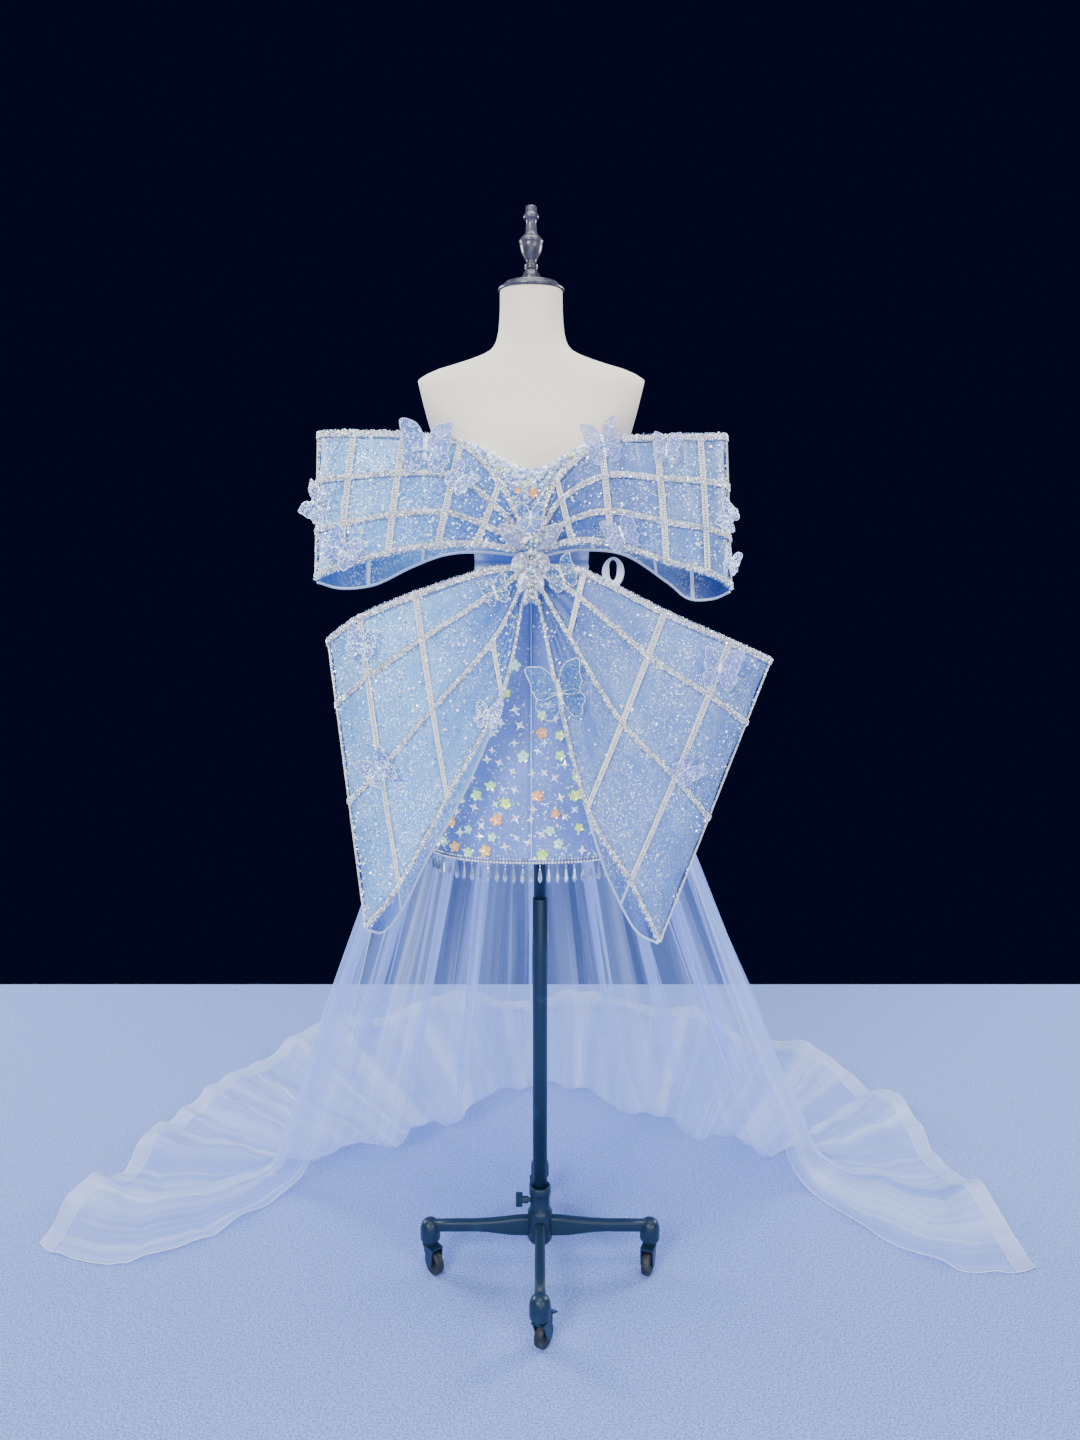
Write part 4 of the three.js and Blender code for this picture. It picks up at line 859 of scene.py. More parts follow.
for name, node, part, steps, x, z in (
    ("neckCap", "form_neck_cap", "cap", 72, body["axisX"], neckTop),
    ("finial", "form_finial", "knob", 40, body["axisX"], knobZ),
    ("flange", "form_base_flange", "flange", 64, 0, flangeZ),
):
    lift = Matrix.Translation((x, 0, z))
    made = turnedPiece(name, node, "lacquer", finial[part], steps, lift)
    if part == "cap":
        soften(made, 0.6)
print("made the form")

stand = {
    "circle": 201.5, "legWidth": 18, "hub": [
        (0, 59), (13, 59), (19, 61), (22.5, 67), (22.5, 117), (21, 121), (17.5, 126),
        (17.5, 149), (18, 151.6), (19.5, 153), (19.5, 167), (18, 169), (13.3, 169),
        (13.3, 100.3), (0, 100.3),
    ],
    "cup": [
        (0, 62), (16, 62), (17.6, 63), (18, 65), (18, 83), (17.4, 88), (15, 95), (11.6, 99),
        (7, 101.4), (0, 103),
    ],
    "legTop": [(8, 108), (34, 107), (60, 104), (90, 100.6), (120, 98.8), (150, 98.8), (201.5, 98)],
    "legBottom": [(201.5, 80), (150, 80), (122, 80.4), (96, 79), (74, 76), (52, 73), (8, 72)],
    "poles": {
        "Lower": [(0, 100.6), (13, 100.6), (13, 710.6), (12.4, 712), (11.2, 712), (0, 712)],
        "Upper": [(0, 712.3), (11, 712.3), (11, 852.4), (10.4, 853.4), (0, 853.4)],
    },
}


def addLeg(bm, turn):
    part = bmesh.new()
    outline = [part.verts.new((x, -stand["legWidth"] / 2, z))
               for x, z in stand["legTop"] + stand["legBottom"]]
    face = part.faces.new(outline)
    grown = bmesh.ops.extrude_face_region(part, geom=[face])["geom"]
    moved = [g for g in grown if isinstance(g, bmesh.types.BMVert)]
    bmesh.ops.translate(part, verts=moved, vec=(0, stand["legWidth"], 0))
    bmesh.ops.recalc_face_normals(part, faces=part.faces[:])
    rims = [e for e in part.edges if abs((e.verts[0].co - e.verts[1].co).y) < 1]
    bmesh.ops.bevel(
        part, geom=rims, offset=4, offset_type="OFFSET", segments=3, profile=0.5,
        affect="EDGES", material=-1,
    )
    addPart(bm, part, Matrix.Rotation(turn, 4, "Z"))


base = bmesh.new()
addTurned(base, stand["hub"], 64)
for k in range(4):
    turn = k * math.pi / 2
    addLeg(base, turn)
    lift = Matrix.Rotation(turn, 4, "Z") @ Matrix.Translation((stand["circle"], 0, 0))
    addTurned(base, stand["cup"], 40, lift)
makePiece(base, "standBase", "standPaint", replaces=["stand_base"])
for name, profile in stand["poles"].items():
    node = f"pole_{name.lower()}"
    turnedPiece(f"pole{name}", node, "standPaint", profile, 48)

wheel = {"radius": 22, "trail": 12, "profile": [
    (3.4, -6), (9, -6), (9, -7), (12, -7.4), (15.6, -6.6), (16, -7.6), (18.6, -8), (21, -6.8),
    (22, -4), (22, 4), (21, 6.8), (18.6, 8), (16, 7.6), (15.6, 6.6), (12, 7.4), (9, 7), (9, 6),
    (3.4, 6), (3.4, -6),
]}
castors = table("name x y turn", [
    ("front", 0, -201.5, 60), ("right", 201.5, 0, 250), ("rear", 0, 201.5, 120),
    ("left", -201.5, 0, -50),
])
for row in castors:
    name = row["name"]
    axle = Matrix.Translation((wheel["trail"], 0, wheel["radius"]))
    lift = (
        Matrix.Translation((row["x"], row["y"], 0))
        @ Matrix.Rotation(math.radians(row["turn"]), 4, "Z")
        @ axle @ Matrix.Rotation(math.pi / 2, 4, "X")
    )
    turnedPiece(
        f"wheel.{name}", f"castor_{name}_wheel", "rubber", wheel["profile"], 56,
        lift, f"{name}_wheel",
    )

# The small moving parts keep their own solids and only take a material.
nodeMaterials = {f"castor_{row['name']}_fork": "standPaint" for row in castors} | {
    "castor_front_brake_lever": "standPaint", "height_clamp_screw": "standPaint",
    "zip_slider": "steel", "zip_pull": "steel",
}
for node, material in nodeMaterials.items():
    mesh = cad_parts[node].data
    mesh.materials.clear()
    mesh.materials.append(materials[material])
print("made the stand")


# Mean width and length of a sheet, in metres, which is what it was cut to.
def clothSize(pointAt, steps=12):
    def length(pathAt):
        marks = [pathAt(k / steps) for k in range(steps + 1)]
        return sum((b - a).length for a, b in zip(marks, marks[1:]))

    shares = [(k + 0.5) / 6 for k in range(6)]
    wide = sum(length(lambda u: pointAt(u, v)) for v in shares) / 6
    long = sum(length(lambda v: pointAt(u, v)) for u in shares) / 6
    return round(wide / 1000, 3), round(long / 1000, 3)


# The flat area of a cut that isn't a rectangle, in square metres.
def clothArea(pointAt):
    steps = 24
    marks = [[pointAt(i / steps, j / steps) for j in range(steps + 1)] for i in range(steps + 1)]
    area = 0
    for one, two in zip(marks, marks[1:]):
        for a, b, c, d in zip(one, two, two[1:], one[1:]):
            area += ((c - a).cross(d - b)).length / 2
    return round(area / 1e6, 4)


# A sheet stretched on the form, measured along the surface that it is given.
def stretchSheet(name, node, material, columns, rows, pointAt, wall, steps=12):
    size = clothSize(pointAt, steps)
    bm = bmesh.new()
    addGrid(bm, columns, rows, pointAt, size, flip=True)
    piece = makePiece(bm, name, material, replaces=[node])
    thicken(piece, wall)


zipSet = {"halfWidth": 7, "topZ": 1436, "bottomZ": 1150, "pointZ": 1100, "pointHalf": 1.2,
          "wall": 0.9, "tooth": 1.6, "sliderRoom": 14}
panels = {"seam": 0.12, "lift": 1.0, "wall": 1.4, "bodiceRows": 26, "skirtRows": 44, "columns": 44}


def zipEdge(z):
    share = min(max((z - zipSet["pointZ"]) / (zipSet["bottomZ"] - zipSet["pointZ"]), 0), 1)
    return mix(zipSet["pointHalf"], zipSet["halfWidth"], share)


def backEdge(z):
    off = body["gap"] / 2 if z < zipSet["pointZ"] else zipEdge(z) + body["gap"]
    return 180 - angleOff(off, z)


def skirtWave(side, angle, z):  # the skirt stands off a little more here and there near its hem
    ease = 1.2 * smooth((1150 - z) / 300)
    return max(ease * math.sin(math.radians(angle) * 7 + side) * (1 + 0.5 * math.sin(z / 61)), 0)


# A panel of the dress: its edges are angles, the second one a function of height.
def dressPanel(name, node, side, nearAngle, farAt, isBodice):
    waist = body["waistZ"]

    def pointAt(u, v):
        if side < 0:
            u = 1 - u
        around = mix(nearAngle, farAt(waist), u)
        top = necklineAt(around) if isBodice else waist - body["gap"] / 2
        bottom = waist + body["gap"] / 2 if isBodice else body["hemZ"]
        z = mix(top, bottom, v)
        angle = mix(nearAngle, farAt(z), u)
        return dressPoint(side * angle, z, panels["lift"] + skirtWave(side, angle, z))

    rows = panels["bodiceRows"] if isBodice else panels["skirtRows"]
    stretchSheet(
        name, node, "dressSatin", panels["columns"], rows, pointAt, panels["wall"],
    )


edge, start = 90 - panels["seam"], 90 + panels["seam"]


def bodicePoint(u, v):
    angle = mix(-edge, edge, u)
    z = mix(necklineAt(angle), body["waistZ"] + body["gap"] / 2, v)
    return dressPoint(angle, z, panels["lift"])


stretchSheet(
    "bodiceFront", "bodice_front", "dressSatin", 96, 30, bodicePoint,
    panels["wall"],
)
for name, side in (("left", -1), ("right", 1)):
    dressPanel(f"bodiceBack.{name}", f"bodice_back_{name}", side, start, backEdge, True)
    dressPanel(
        f"skirtFront.{name}", f"skirt_front_{name}", side, panels["seam"], lambda z: edge, False,
    )
    dressPanel(f"skirtBack.{name}", f"skirt_back_{name}", side, start, backEdge, False)

outside = panels["lift"] + panels["wall"]


def cordPath(v):  # a pale cord over the centre seam
    return dressPoint(0, mix(body["waistZ"] - 6, body["hemZ"] + 4, v), outside + 0.6)


bm = bmesh.new()
addSweep(bm, cordPath, 90, 1.0)
makePiece(bm, "seamCord", "whiteSatin")


def tapePoint(u, v):
    z = mix(zipSet["topZ"], zipSet["pointZ"], v)
    off = angleOff(zipEdge(z), z)
    return dressPoint(180 + mix(-off, off, u), z, panels["lift"])


stretchSheet("zipTape", "back_zip", "blueSatin", 8, 90, tapePoint, zipSet["wall"])
teeth = []  # the zip's coil, as two rows of turned teeth
zipLength = zipSet["topZ"] - zipSet["sliderRoom"] - zipSet["bottomZ"]
for k in range(int(zipLength / zipSet["tooth"])):
    z = zipSet["bottomZ"] + zipSet["tooth"] * k
    hand = 1 if k % 2 else -1
    point = dressPoint(180 + hand * angleOff(0.8, z), z, panels["lift"] + zipSet["wall"])
    teeth.append((seat(point, dressNormal(180, z), (0.8, 0.5), k % 2), 0.3))
sewnPiece({"square": teeth}, "zipCoil", "blueStones")
print("made the dress")

# Sequins, flowers and stars: each band says how many lie between two heights and angles.
scatter = {
    "bands": table("top bottom half count kinds low high", [
        (0, 1376, 24, 620, "chip sequin bead", 1.4, 3.4),
        (0, 1352, 48, 620, "sequin chip", 1.3, 2.9),
        (0, 1400, 180, 620, "sequin chip", 1.3, 2.7),
        (1400, 1300, 180, 420, "sequin", 0.9, 1.8),
        (1285, 1180, 180, 520, "sequin", 0.9, 1.9),
        (1240, 818, 180, 3200, "sequin stone", 0.8, 1.7),
        (1100, 818, 180, 1200, "sequin stone", 1.6, 2.9),
    ]),
    "motifs": table("shape count size gap", [("flower", 170, 10.2, 25), ("star", 250, 9.2, 16)]),
    "motifTop": 1175, "motifBottom": 824, "tries": 40000,
    "frontFlowers": table("angle down size tint", [
        (-2, 19, 6, 0.84), (1, 33, 8.5, 1.0), (-7, 29, 5.5, 0.97), (8, 24, 5, 0.6),
    ]),
    "neckline": {"count": 330, "half": 172, "drops": (0.6, 3.6, 7.2)},
}


def dressSeat(angle, z, size, lift=0.0, lean=0.25):
    normal = dressNormal(angle, z) + jitter(lean)
    lift += skirtWave(math.copysign(1, angle), abs(angle), z)
    return seat(dressPoint(angle, z, outside + lift), normal, size, random.uniform(0, 6.3))


def inZip(angle, z):
    return abs(angle) > 172 and z > zipSet["pointZ"]


bm = bmesh.new()
for row in scatter["bands"]:
    seats = {kind: [] for kind in row["kinds"].split()}
    for _ in range(row["count"]):
        angle = random.uniform(-row["half"], row["half"])
        top = row["top"] or necklineAt(angle) - 2
        z = mix(top, row["bottom"], random.random() ** (1.5 if row["top"] == 0 else 1))
        if inZip(angle, z):
            continue
        kind = random.choice(list(seats))
        size = random.uniform(row["low"], row["high"])
        plain = random.random() < (0.94 if row["half"] < 60 else 0.9)
        tint = random.uniform(0.1, 0.64) if plain else random.random()
        seats[kind].append((dressSeat(angle, z, size), tint))
    for kind, places in seats.items():
        sewOn(bm, kind, places)
makePiece(bm, "sequins", "sequins", smoothed=False)

taken = []
bm = bmesh.new()
for row in scatter["motifs"]:
    seats = []
    tries = 0
    while len(seats) < row["count"] and tries < scatter["tries"]:
        tries += 1
        angle = random.uniform(-180, 180)
        z = mix(scatter["motifTop"], scatter["motifBottom"], random.random() ** 0.7)
        point = dressPoint(angle, z)
        if inZip(angle, z) or any((point - other).length < row["gap"] for other in taken):
            continue
        taken.append(point)
        if row["shape"] == "flower":
            tint = random.choice((0.8, 0.83, 0.86, 0.84, 1.0, 0.97))
        else:
            tint = random.uniform(0.62, 0.66)
        size = row["size"] * random.uniform(0.8, 1.1)
        seats.append((dressSeat(angle, z, size, 0.6, 0.3), tint))
    sewOn(bm, row["shape"], seats)
    sewOn(bm, "chip", [  # a clear bead holds each one
        (place @ Matrix.Translation((0, 0, 0.3)) @ Matrix.Scale(0.2, 4), 0.6) for place, _ in seats
    ])
sewOn(bm, "flower", [  # and a few on the front of the bodice, above the knot
    (dressSeat(row["angle"], necklineAt(0) - row["down"], row["size"], 2.0, 0.1), row["tint"])
    for row in scatter["frontFlowers"]
])
makePiece(bm, "flowersAndStars", "sequins", smoothed=False)

seats = []  # beads along the top edge of the bodice
edging = scatter["neckline"]
for k in range(edging["count"]):
    angle = -edging["half"] + 2 * edging["half"] * k / (edging["count"] - 1)
    top = necklineAt(angle)
    for drop in edging["drops"]:
        size = random.uniform(1.3, 2.3) * (1.25 if abs(angle) < 30 else 1)
        z = top - drop + random.uniform(-0.9, 0.9)
        place = dressSeat(angle + random.uniform(-0.4, 0.4), z, size)
        seats.append((place, random.random() ** 0.7))
sewnPiece({"chip": seats}, "necklineBeads", "blueStones")

fringe = {"pitch": 14, "top": 811, "beadPitch": 5.2, "beadZ": (812.8, 818.4), "profile": [
    (0, 0), (1.1, -0.6), (1.6, -2), (1.1, -3.4), (0.5, -4.4), (0.6, -6.4), (1.4, -8), (2.2, -13),
    (3.7, -21), (4.0, -24), (3.1, -27.6), (0, -32),
]}


def hemPoint(share, z=None, lift=0.0):
    point = dressPoint(360 * share - 180, body["hemZ"] + 2, outside - 0.7 + lift)
    return Vector((point.x, point.y, fringe["top"] if z is None else z))


seats = []
lowZ, highZ = fringe["beadZ"]
for share in evenly(hemPoint, fringe["beadPitch"], 400)[:-1]:
    out = dressNormal(360 * share - 180, body["hemZ"] + 2)
    seats.append((seat(hemPoint(share, lowZ, 0.3), out, 2.5), random.choice((0.3, 0.5, 0.6))))
    seats.append((seat(hemPoint(share, highZ, 0.8), out, 1.8), random.choice((0.05, 0.3, 0.6))))
sewnPiece({"bead": seats}, "hemBeads", "ivoryStones", smoothed=True)
bm = bmesh.new()
for share in evenly(hemPoint, fringe["pitch"], 400)[:-1]:
    swing = Matrix.Rotation(random.uniform(-0.05, 0.05), 4, "X")
    lift = Matrix.Translation(hemPoint(share, fringe["top"] - 1.4)) @ swing
    addTurned(bm, fringe["profile"], 6, lift @ Matrix.Rotation(random.random(), 4, "Z"))
makePiece(bm, "beadFringe", "drops", replaces=["bead_fringe"], smoothed=False)
print("made the sequins and the fringe")

# The bow. A row is a line across a loop from its top edge to its bottom edge, from the knot
# outwards on a front and from the outer fold inwards on a back; y is how far forward it stands.
rowNames = "topX topZ bottomX bottomZ y"
# The right loops take the darker, painted-shade copy of the organza.
left = {"cloth": "organzaLeft", "gems": 1500, "side": 1}
right = {"cloth": "organzaRight", "gems": 620, "side": -1}
upper = {
    "ribs": (0, 1 / 3, 2 / 3, 1), "bulge": 9,
    "crosses": ((1, 0, 1), (2, 0, 1), (3, 0, 1), (4, 0, 1), (6, 0, 1)),
}
lower = {"ribs": (0, 0.22, 0.55, 1), "bulge": 12}
loops = {
    "upper_left": {
        **upper, **left,
        "front": table(rowNames, [
            (-34, 1357, -34, 1305, -150), (-60, 1411, -98, 1315, -168),
            (-116, 1466, -153, 1313, -186), (-197, 1477, -225, 1302, -193),
            (-270, 1480, -296, 1281, -187), (-318, 1483, -331, 1269, -160),
            (-335, 1485, -346, 1264, -118),
        ]),
        "back": table(rowNames, [
            (-335, 1484, -346, 1262, -117.6), (-310, 1480, -314, 1252, -88),
            (-250, 1476, -262, 1258, -84), (-180, 1471, -200, 1286, -102),
            (-112, 1460, -146, 1304, -132), (-60, 1405, -92, 1308, -141),
            (-34, 1355, -34, 1303, -137),
        ]),
    },
    "upper_right": {
        **upper, **right,
        "front": table(rowNames, [
            (6, 1357, 6, 1305, -150), (26, 1416, 50, 1319, -168), (90, 1466, 107, 1315, -186),
            (168, 1473, 188, 1289, -193), (232, 1475, 248, 1273, -187),
            (268, 1479, 281, 1256, -160), (281, 1482, 295, 1249, -118),
        ]),
        "back": table(rowNames, [
            (281, 1481, 295, 1247, -117.6), (262, 1478, 272, 1235, -90),
            (216, 1474, 236, 1236, -86), (166, 1470, 200, 1262, -100),
            (104, 1461, 130, 1304, -132), (36, 1408, 60, 1311, -141), (6, 1355, 6, 1303, -137),
        ]),
    },
    "lower_left": {
        **lower, **left,
        "crosses": ((1, 0.55, 1), (2, 0, 1), (3, 0, 1), (5, 0, 1)),
        "front": table(rowNames, [
            (-33.3, 1289, -28, 1229, -150), (-89, 1279, -60, 1089, -178),
            (-185, 1247, -142, 932, -198), (-268, 1213, -217, 794, -194),
            (-314, 1182, -266, 722, -166), (-328, 1171, -281, 704, -125),
        ]),
        "back": table(rowNames, [
            (-328, 1170, -281, 700, -124.6), (-306, 1179, -257, 690, -103),
            (-262, 1198, -222, 738, -106), (-195, 1226, -186, 812, -126),
            (-115, 1257, -112, 950, -141), (-62, 1277, -54, 1098, -142),
            (-33.3, 1287, -28, 1231, -137),
        ]),
    },
    "lower_right": {
        **lower, **right,
        "crosses": ((1, 0, 0.55), (2, 0, 1), (3, 0, 1), (5, 0, 1)),
        "front": table(rowNames, [
            (5.3, 1289, 0, 1229, -150), (67, 1279, 27, 1101, -178), (186, 1220, 72, 917, -198),
            (284, 1177, 138, 800, -194), (344, 1150, 180, 706, -166), (359, 1142, 193, 681, -125),
        ]),
        "back": table(rowNames, [
            (359, 1141, 193, 677, -124.6), (334, 1150, 160, 690, -103),
            (282, 1172, 127, 750, -106), (205, 1206, 96, 830, -126), (112, 1248, 58, 962, -141),
            (45, 1275, 21, 1112, -142), (5.3, 1287, 0, 1231, -137),
        ]),
    },
}
bow = {
    "wall": 1.6, "ribLift": 1.4, "ribWidth": 9.4, "ribHeight": 2.0, "chainWidth": 9.0,
    "frontColumns": 110, "frontRows": 64, "backColumns": 72, "backRows": 44,
    "gathers": 9, "gatherDepth": 2.6, "sink": 2.2, "piping": 2.1, "picotGap": 3.4,
}


@functools.lru_cache(maxsize=None)
def loopRow(name, part, t):
    rows = loops[name][part]
    at = t * (len(rows) - 1)
    return tuple(along(rows, "i", column, at) for column in rowNames.split())


def loopPoint(name, part, t, share):
    topX, topZ, bottomX, bottomZ, y = loopRow(name, part, round(t, 6))
    if part == "front":
        y -= loops[name]["bulge"] * math.sin(math.pi * share) * math.sin(math.pi * t)
    return Vector((mix(topX, bottomX, share), y, mix(topZ, bottomZ, share)))


def loopNormal(name, part, t, share):
    step = 0.01
    t0, t1 = max(t - step, 0), min(t + step, 1)
    s0, s1 = max(share - step, 0), min(share + step, 1)
    outwards = loopPoint(name, part, t1, share) - loopPoint(name, part, t0, share)
    down = loopPoint(name, part, t, s1) - loopPoint(name, part, t, s0)
    return outwards.cross(down).normalized() * loops[name]["side"]


def onLoop(name, part, t, share, lift=0.0):
    return loopPoint(name, part, t, share) + loopNormal(name, part, t, share) * lift


# The cloth itself: it sinks a little between its ribs and is gathered at the knot.
def loopCloth(name, part, t, share):
    ribs = loops[name]["ribs"]
    k = max(i for i in range(len(ribs) - 1) if ribs[i] <= share or i == 0)
    between = (share - ribs[k]) / (ribs[k + 1] - ribs[k])
    sink = bow["sink"] * math.sin(math.pi * between) ** 2 * smooth(t * 4)
    knot = t if part == "front" else 1 - t
    crease = math.sin(2 * math.pi * bow["gathers"] * share + 1.3 * math.sin(9 * share))
    crease *= bow["gatherDepth"] * math.exp(-7 * knot) * smooth(knot * 30)
    tug = 1.3 * noise.noise(Vector((t * 7, share * 5, loops[name]["bulge"])))
    middle = bow["wall"] / 2 - (sink if part == "front" else 0)
    return onLoop(name, part, t, share, middle + crease + tug * smooth(4 * t) * smooth(4 - 4 * t))


def addStrip(bm, pathAt, across, out, width, height, steps):
    def pointAt(u, v):
        side = (u - 0.5) * width
        rise = height * (1 - (2 * u - 1) ** 4)
        return pathAt(v) + across(v) * side + out(v) * rise

    addGrid(bm, 4, steps, pointAt, (width / 1000, 0.4))


def ribStrip(bm, beads, name, share):
    half = bow["ribWidth"] / 2
    shift = half if share == 0 else -half if share == 1 else 0

    def across(t):
        low, high = max(share - 0.02, 0), min(share + 0.02, 1)
        return (loopPoint(name, "front", t, high) - loopPoint(name, "front", t, low)).normalized()

    def pathAt(t):
        return onLoop(name, "front", t, share, bow["wall"] + bow["ribLift"]) + across(t) * shift

    def out(t):
        return loopNormal(name, "front", t, share)

    addStrip(bm, pathAt, across, out, bow["ribWidth"], bow["ribHeight"], 90)
    for t in evenly(pathAt, 2.9):
        for k in range(4):
            side = (k - 1.5) * 2.2 + random.uniform(-0.6, 0.6)
            point = pathAt(t) + across(t) * side + out(t) * bow["ribHeight"] * 0.75
            normal = out(t) + jitter(0.7)
            size = random.uniform(0.7, 1.8)
            kind = "bead" if random.random() < 0.1 else "chip"
            beads[kind].append((seat(point, normal, size, random.random() * 6), random.random()))


def chainStrip(bm, beads, name, row, low, high):
    t = row / (len(loops[name]["front"]) - 1)

    def shareAt(v):
        return mix(low, high, v)

    def across(v):
        before = loopPoint(name, "front", max(t - 0.01, 0), shareAt(v))
        return (loopPoint(name, "front", min(t + 0.01, 1), shareAt(v)) - before).normalized()

    def pathAt(v):
        shift = -bow["chainWidth"] / 2 if t == 1 else 0
        lifted = bow["wall"] + bow["ribLift"]
        return onLoop(name, "front", t, shareAt(v), lifted) + across(v) * shift

    def out(v):
        return loopNormal(name, "front", t, shareAt(v))

    addStrip(bm, pathAt, across, out, bow["chainWidth"], 0.9, 60)
    for v in evenly(pathAt, 2.2):
        for k in (-1, 1):
            point = pathAt(v) + across(v) * k * 4.0 + out(v) * 0.6
            beads["chip"].append((seat(point, out(v), 1.0), random.uniform(0.62, 0.72)))
    for v in evenly(pathAt, 4.2):
        for k in (-1, 1):
            point = pathAt(v) + across(v) * k * 1.6 + out(v) * 0.8
            turn = across(v).angle(Vector((1, 0, 0)))
            tint = random.uniform(0.56, 0.72)
            beads["square"].append((seat(point, out(v), (1.2, 1.4), turn), tint))


for name, loop in loops.items():
    label = name.replace("_", " ").title().replace(" ", "")
    label = label[0].lower() + label[1:]
    frontAt = functools.partial(loopCloth, name, "front")
    backAt = functools.partial(loopCloth, name, "back")
    cloth = loop["cloth"]
    bm = bmesh.new()
    size = clothSize(frontAt)
    flip = loop["side"] < 0
    addGrid(bm, bow["frontColumns"], bow["frontRows"], frontAt, size, flip)
    front = makePiece(bm, f"{label}.front", cloth, replaces=[f"loop_{name}_front"])
    bm = bmesh.new()
    beads = {"chip": [], "bead": [], "square": []}
    for share in loop["ribs"]:
        ribStrip(bm, beads, name, share)
    for row, low, high in loop["crosses"]:
        chainStrip(bm, beads, name, row, low, high)
    if flip:
        bmesh.ops.reverse_faces(bm, faces=bm.faces[:])
    ribs = makePiece(bm, f"{label}.ribs", "trimBase", replaces=[f"loop_{name}_ribs"])
    thicken(ribs, 0.8, -1)
    stones = sewnPiece(beads, f"{label}.stones", "ivoryStones")

    # Single stones and sequins sewn on the cloth, and a few loose bead picots at its edges.
    seats = {"stone": [], "chip": [], "sequin": []}
    for _ in range(loop["gems"]):
        t, share = random.random() ** 0.8, random.random()
        kind = random.choice(list(seats))
        normal = loopNormal(name, "front", t, share) + jitter(0.35)
        point = onLoop(name, "front", t, share, bow["wall"] + 0.2)
        big = random.choice((0.8, 1.0, 1.3, 1.7, 2.3))
        place = seat(point, normal, big, random.random() * 6)
        seats[kind].append((place, random.choice((0.1, 0.6, 0.9))))
    for share, sign in ((0, -1), (1, 1)):
        for t in evenly(lambda s: onLoop(name, "front", s, share, 2), bow["picotGap"]):
            if t < 0.12:
                continue
            down = loopPoint(name, "front", t, 1) - loopPoint(name, "front", t, 0)
            out = down.normalized() * sign + jitter(0.4)
            point = onLoop(name, "front", t, share, 2 + random.uniform(-1, 2)) + out * 0.6
            seats["chip"].append((seat(point, out, random.uniform(0.7, 1.5)), random.random()))
    gems = sewnPiece(seats, f"{label}.gems", "blueStones")
    clothArea(frontAt)

    bm = bmesh.new()
    size = clothSize(backAt)
    addGrid(bm, bow["backColumns"], bow["backRows"], backAt, size, flip)
    back = makePiece(bm, f"{label}.back", cloth, replaces=[f"loop_{name}_back"])
    bm = bmesh.new()  # satin piping on both edges, and the boning channels inside
    for share, out, radius in ((1, 1, bow["piping"]), (0, -1, 1.3)):
        def edgeAt(t, share=share, out=out):
            down = loopPoint(name, "back", t, 1) - loopPoint(name, "back", t, 0)
            reach = down.normalized() * out * 1.6
            return onLoop(name, "back", t, share, bow["wall"] / 2) + reach
        addSweep(bm, edgeAt, 70, radius)
    for t in (0.3, 0.55, 0.78):
        def boneAt(v, t=t):
            return onLoop(name, "back", t, v, bow["wall"] / 2 - 1.4)
        def boneAcross(v, t=t):
            near = loopPoint(name, "back", t - 0.01, v)
            return (loopPoint(name, "back", t + 0.01, v) - near).normalized()
        def boneOut(v, t=t):
            return -loopNormal(name, "back", t, v)
        addStrip(bm, boneAt, boneAcross, boneOut, 6.5, 1.1, 40)
    bound = makePiece(
        bm, f"{label}.binding", "whiteSatin", replaces=[f"loop_{name}_binding"],
    )
    clothArea(backAt)
print("made the bow's loops")

knot = {
    "rows": table("z halfWidth front", [
        (1366, 11, -148), (1356, 17, -159), (1330, 20, -166), (1296, 18.5, -166),
        (1262, 16.5, -165), (1240, 14, -160), (1228, 9, -150),
    ]),
    "folds": 15, "foldDepth": 1.1,
}


def knotPoint(u, v):
    z = mix(knot["rows"][0]["z"], knot["rows"][-1]["z"], v)
    halfWidth = along(knot["rows"], "z", "halfWidth", z)
    front = along(knot["rows"], "z", "front", z)
    back = dressPoint(0, z, outside + body["gap"]).y
    turn = 2 * math.pi * u
    fold = knot["foldDepth"] * math.sin(knot["folds"] * turn + 2 * math.sin(z / 23))
    x, y = (math.copysign(abs(part) ** 0.7, part) for part in (math.sin(turn), math.cos(turn)))
    x = body["axisX"] + (halfWidth + fold) * x
    return Vector((x, (front + back) / 2 - ((back - front) / 2 + fold) * y, z))


bm = bmesh.new()
addTube(bm, 90, 40, knotPoint, (0.12, 0.14), flip=True)
makePiece(bm, "knotBand", "blueSatin", replaces=["bow_centre_band"])


# A wing or leaf from root to tip: widths are to either side of its midrib, full says how far
# out it is widest, and it is cupped by dome. Returns its surface as a function.
def wingSurface(root, tip, out, widths, full, dome):
    ahead = (tip - root).normalized()
    side = ahead.cross(out).normalized()

    def pointAt(u, v):
        reach = math.sin(math.pi * v ** full) ** 0.75 if 0 < v < 1 else 0
        across = (2 * u - 1) * reach
        width = widths[0] if across < 0 else widths[1]
        rise = dome * math.sin(math.pi * v) * (1 - abs(across)) + 0.25 * dome * v
        return root + (tip - root) * v + side * across * width + out * rise

    return pointAt


def rimSeats(surface, spacing, size, lift, tints):
    seats = []
    for u in (0, 1):
        for v in evenly(lambda s: surface(u, s), spacing)[1:]:
            out = (surface(u, min(v + 0.02, 1)) - surface(u, v - 0.02)).cross(
                surface(1 - u, v) - surface(u, v)).normalized() * (1 if u == 0 else -1)
            if out.length < 0.5:
                continue
            seats.append((seat(surface(u, v) + out * lift, out, size), random.uniform(*tints)))
    return seats


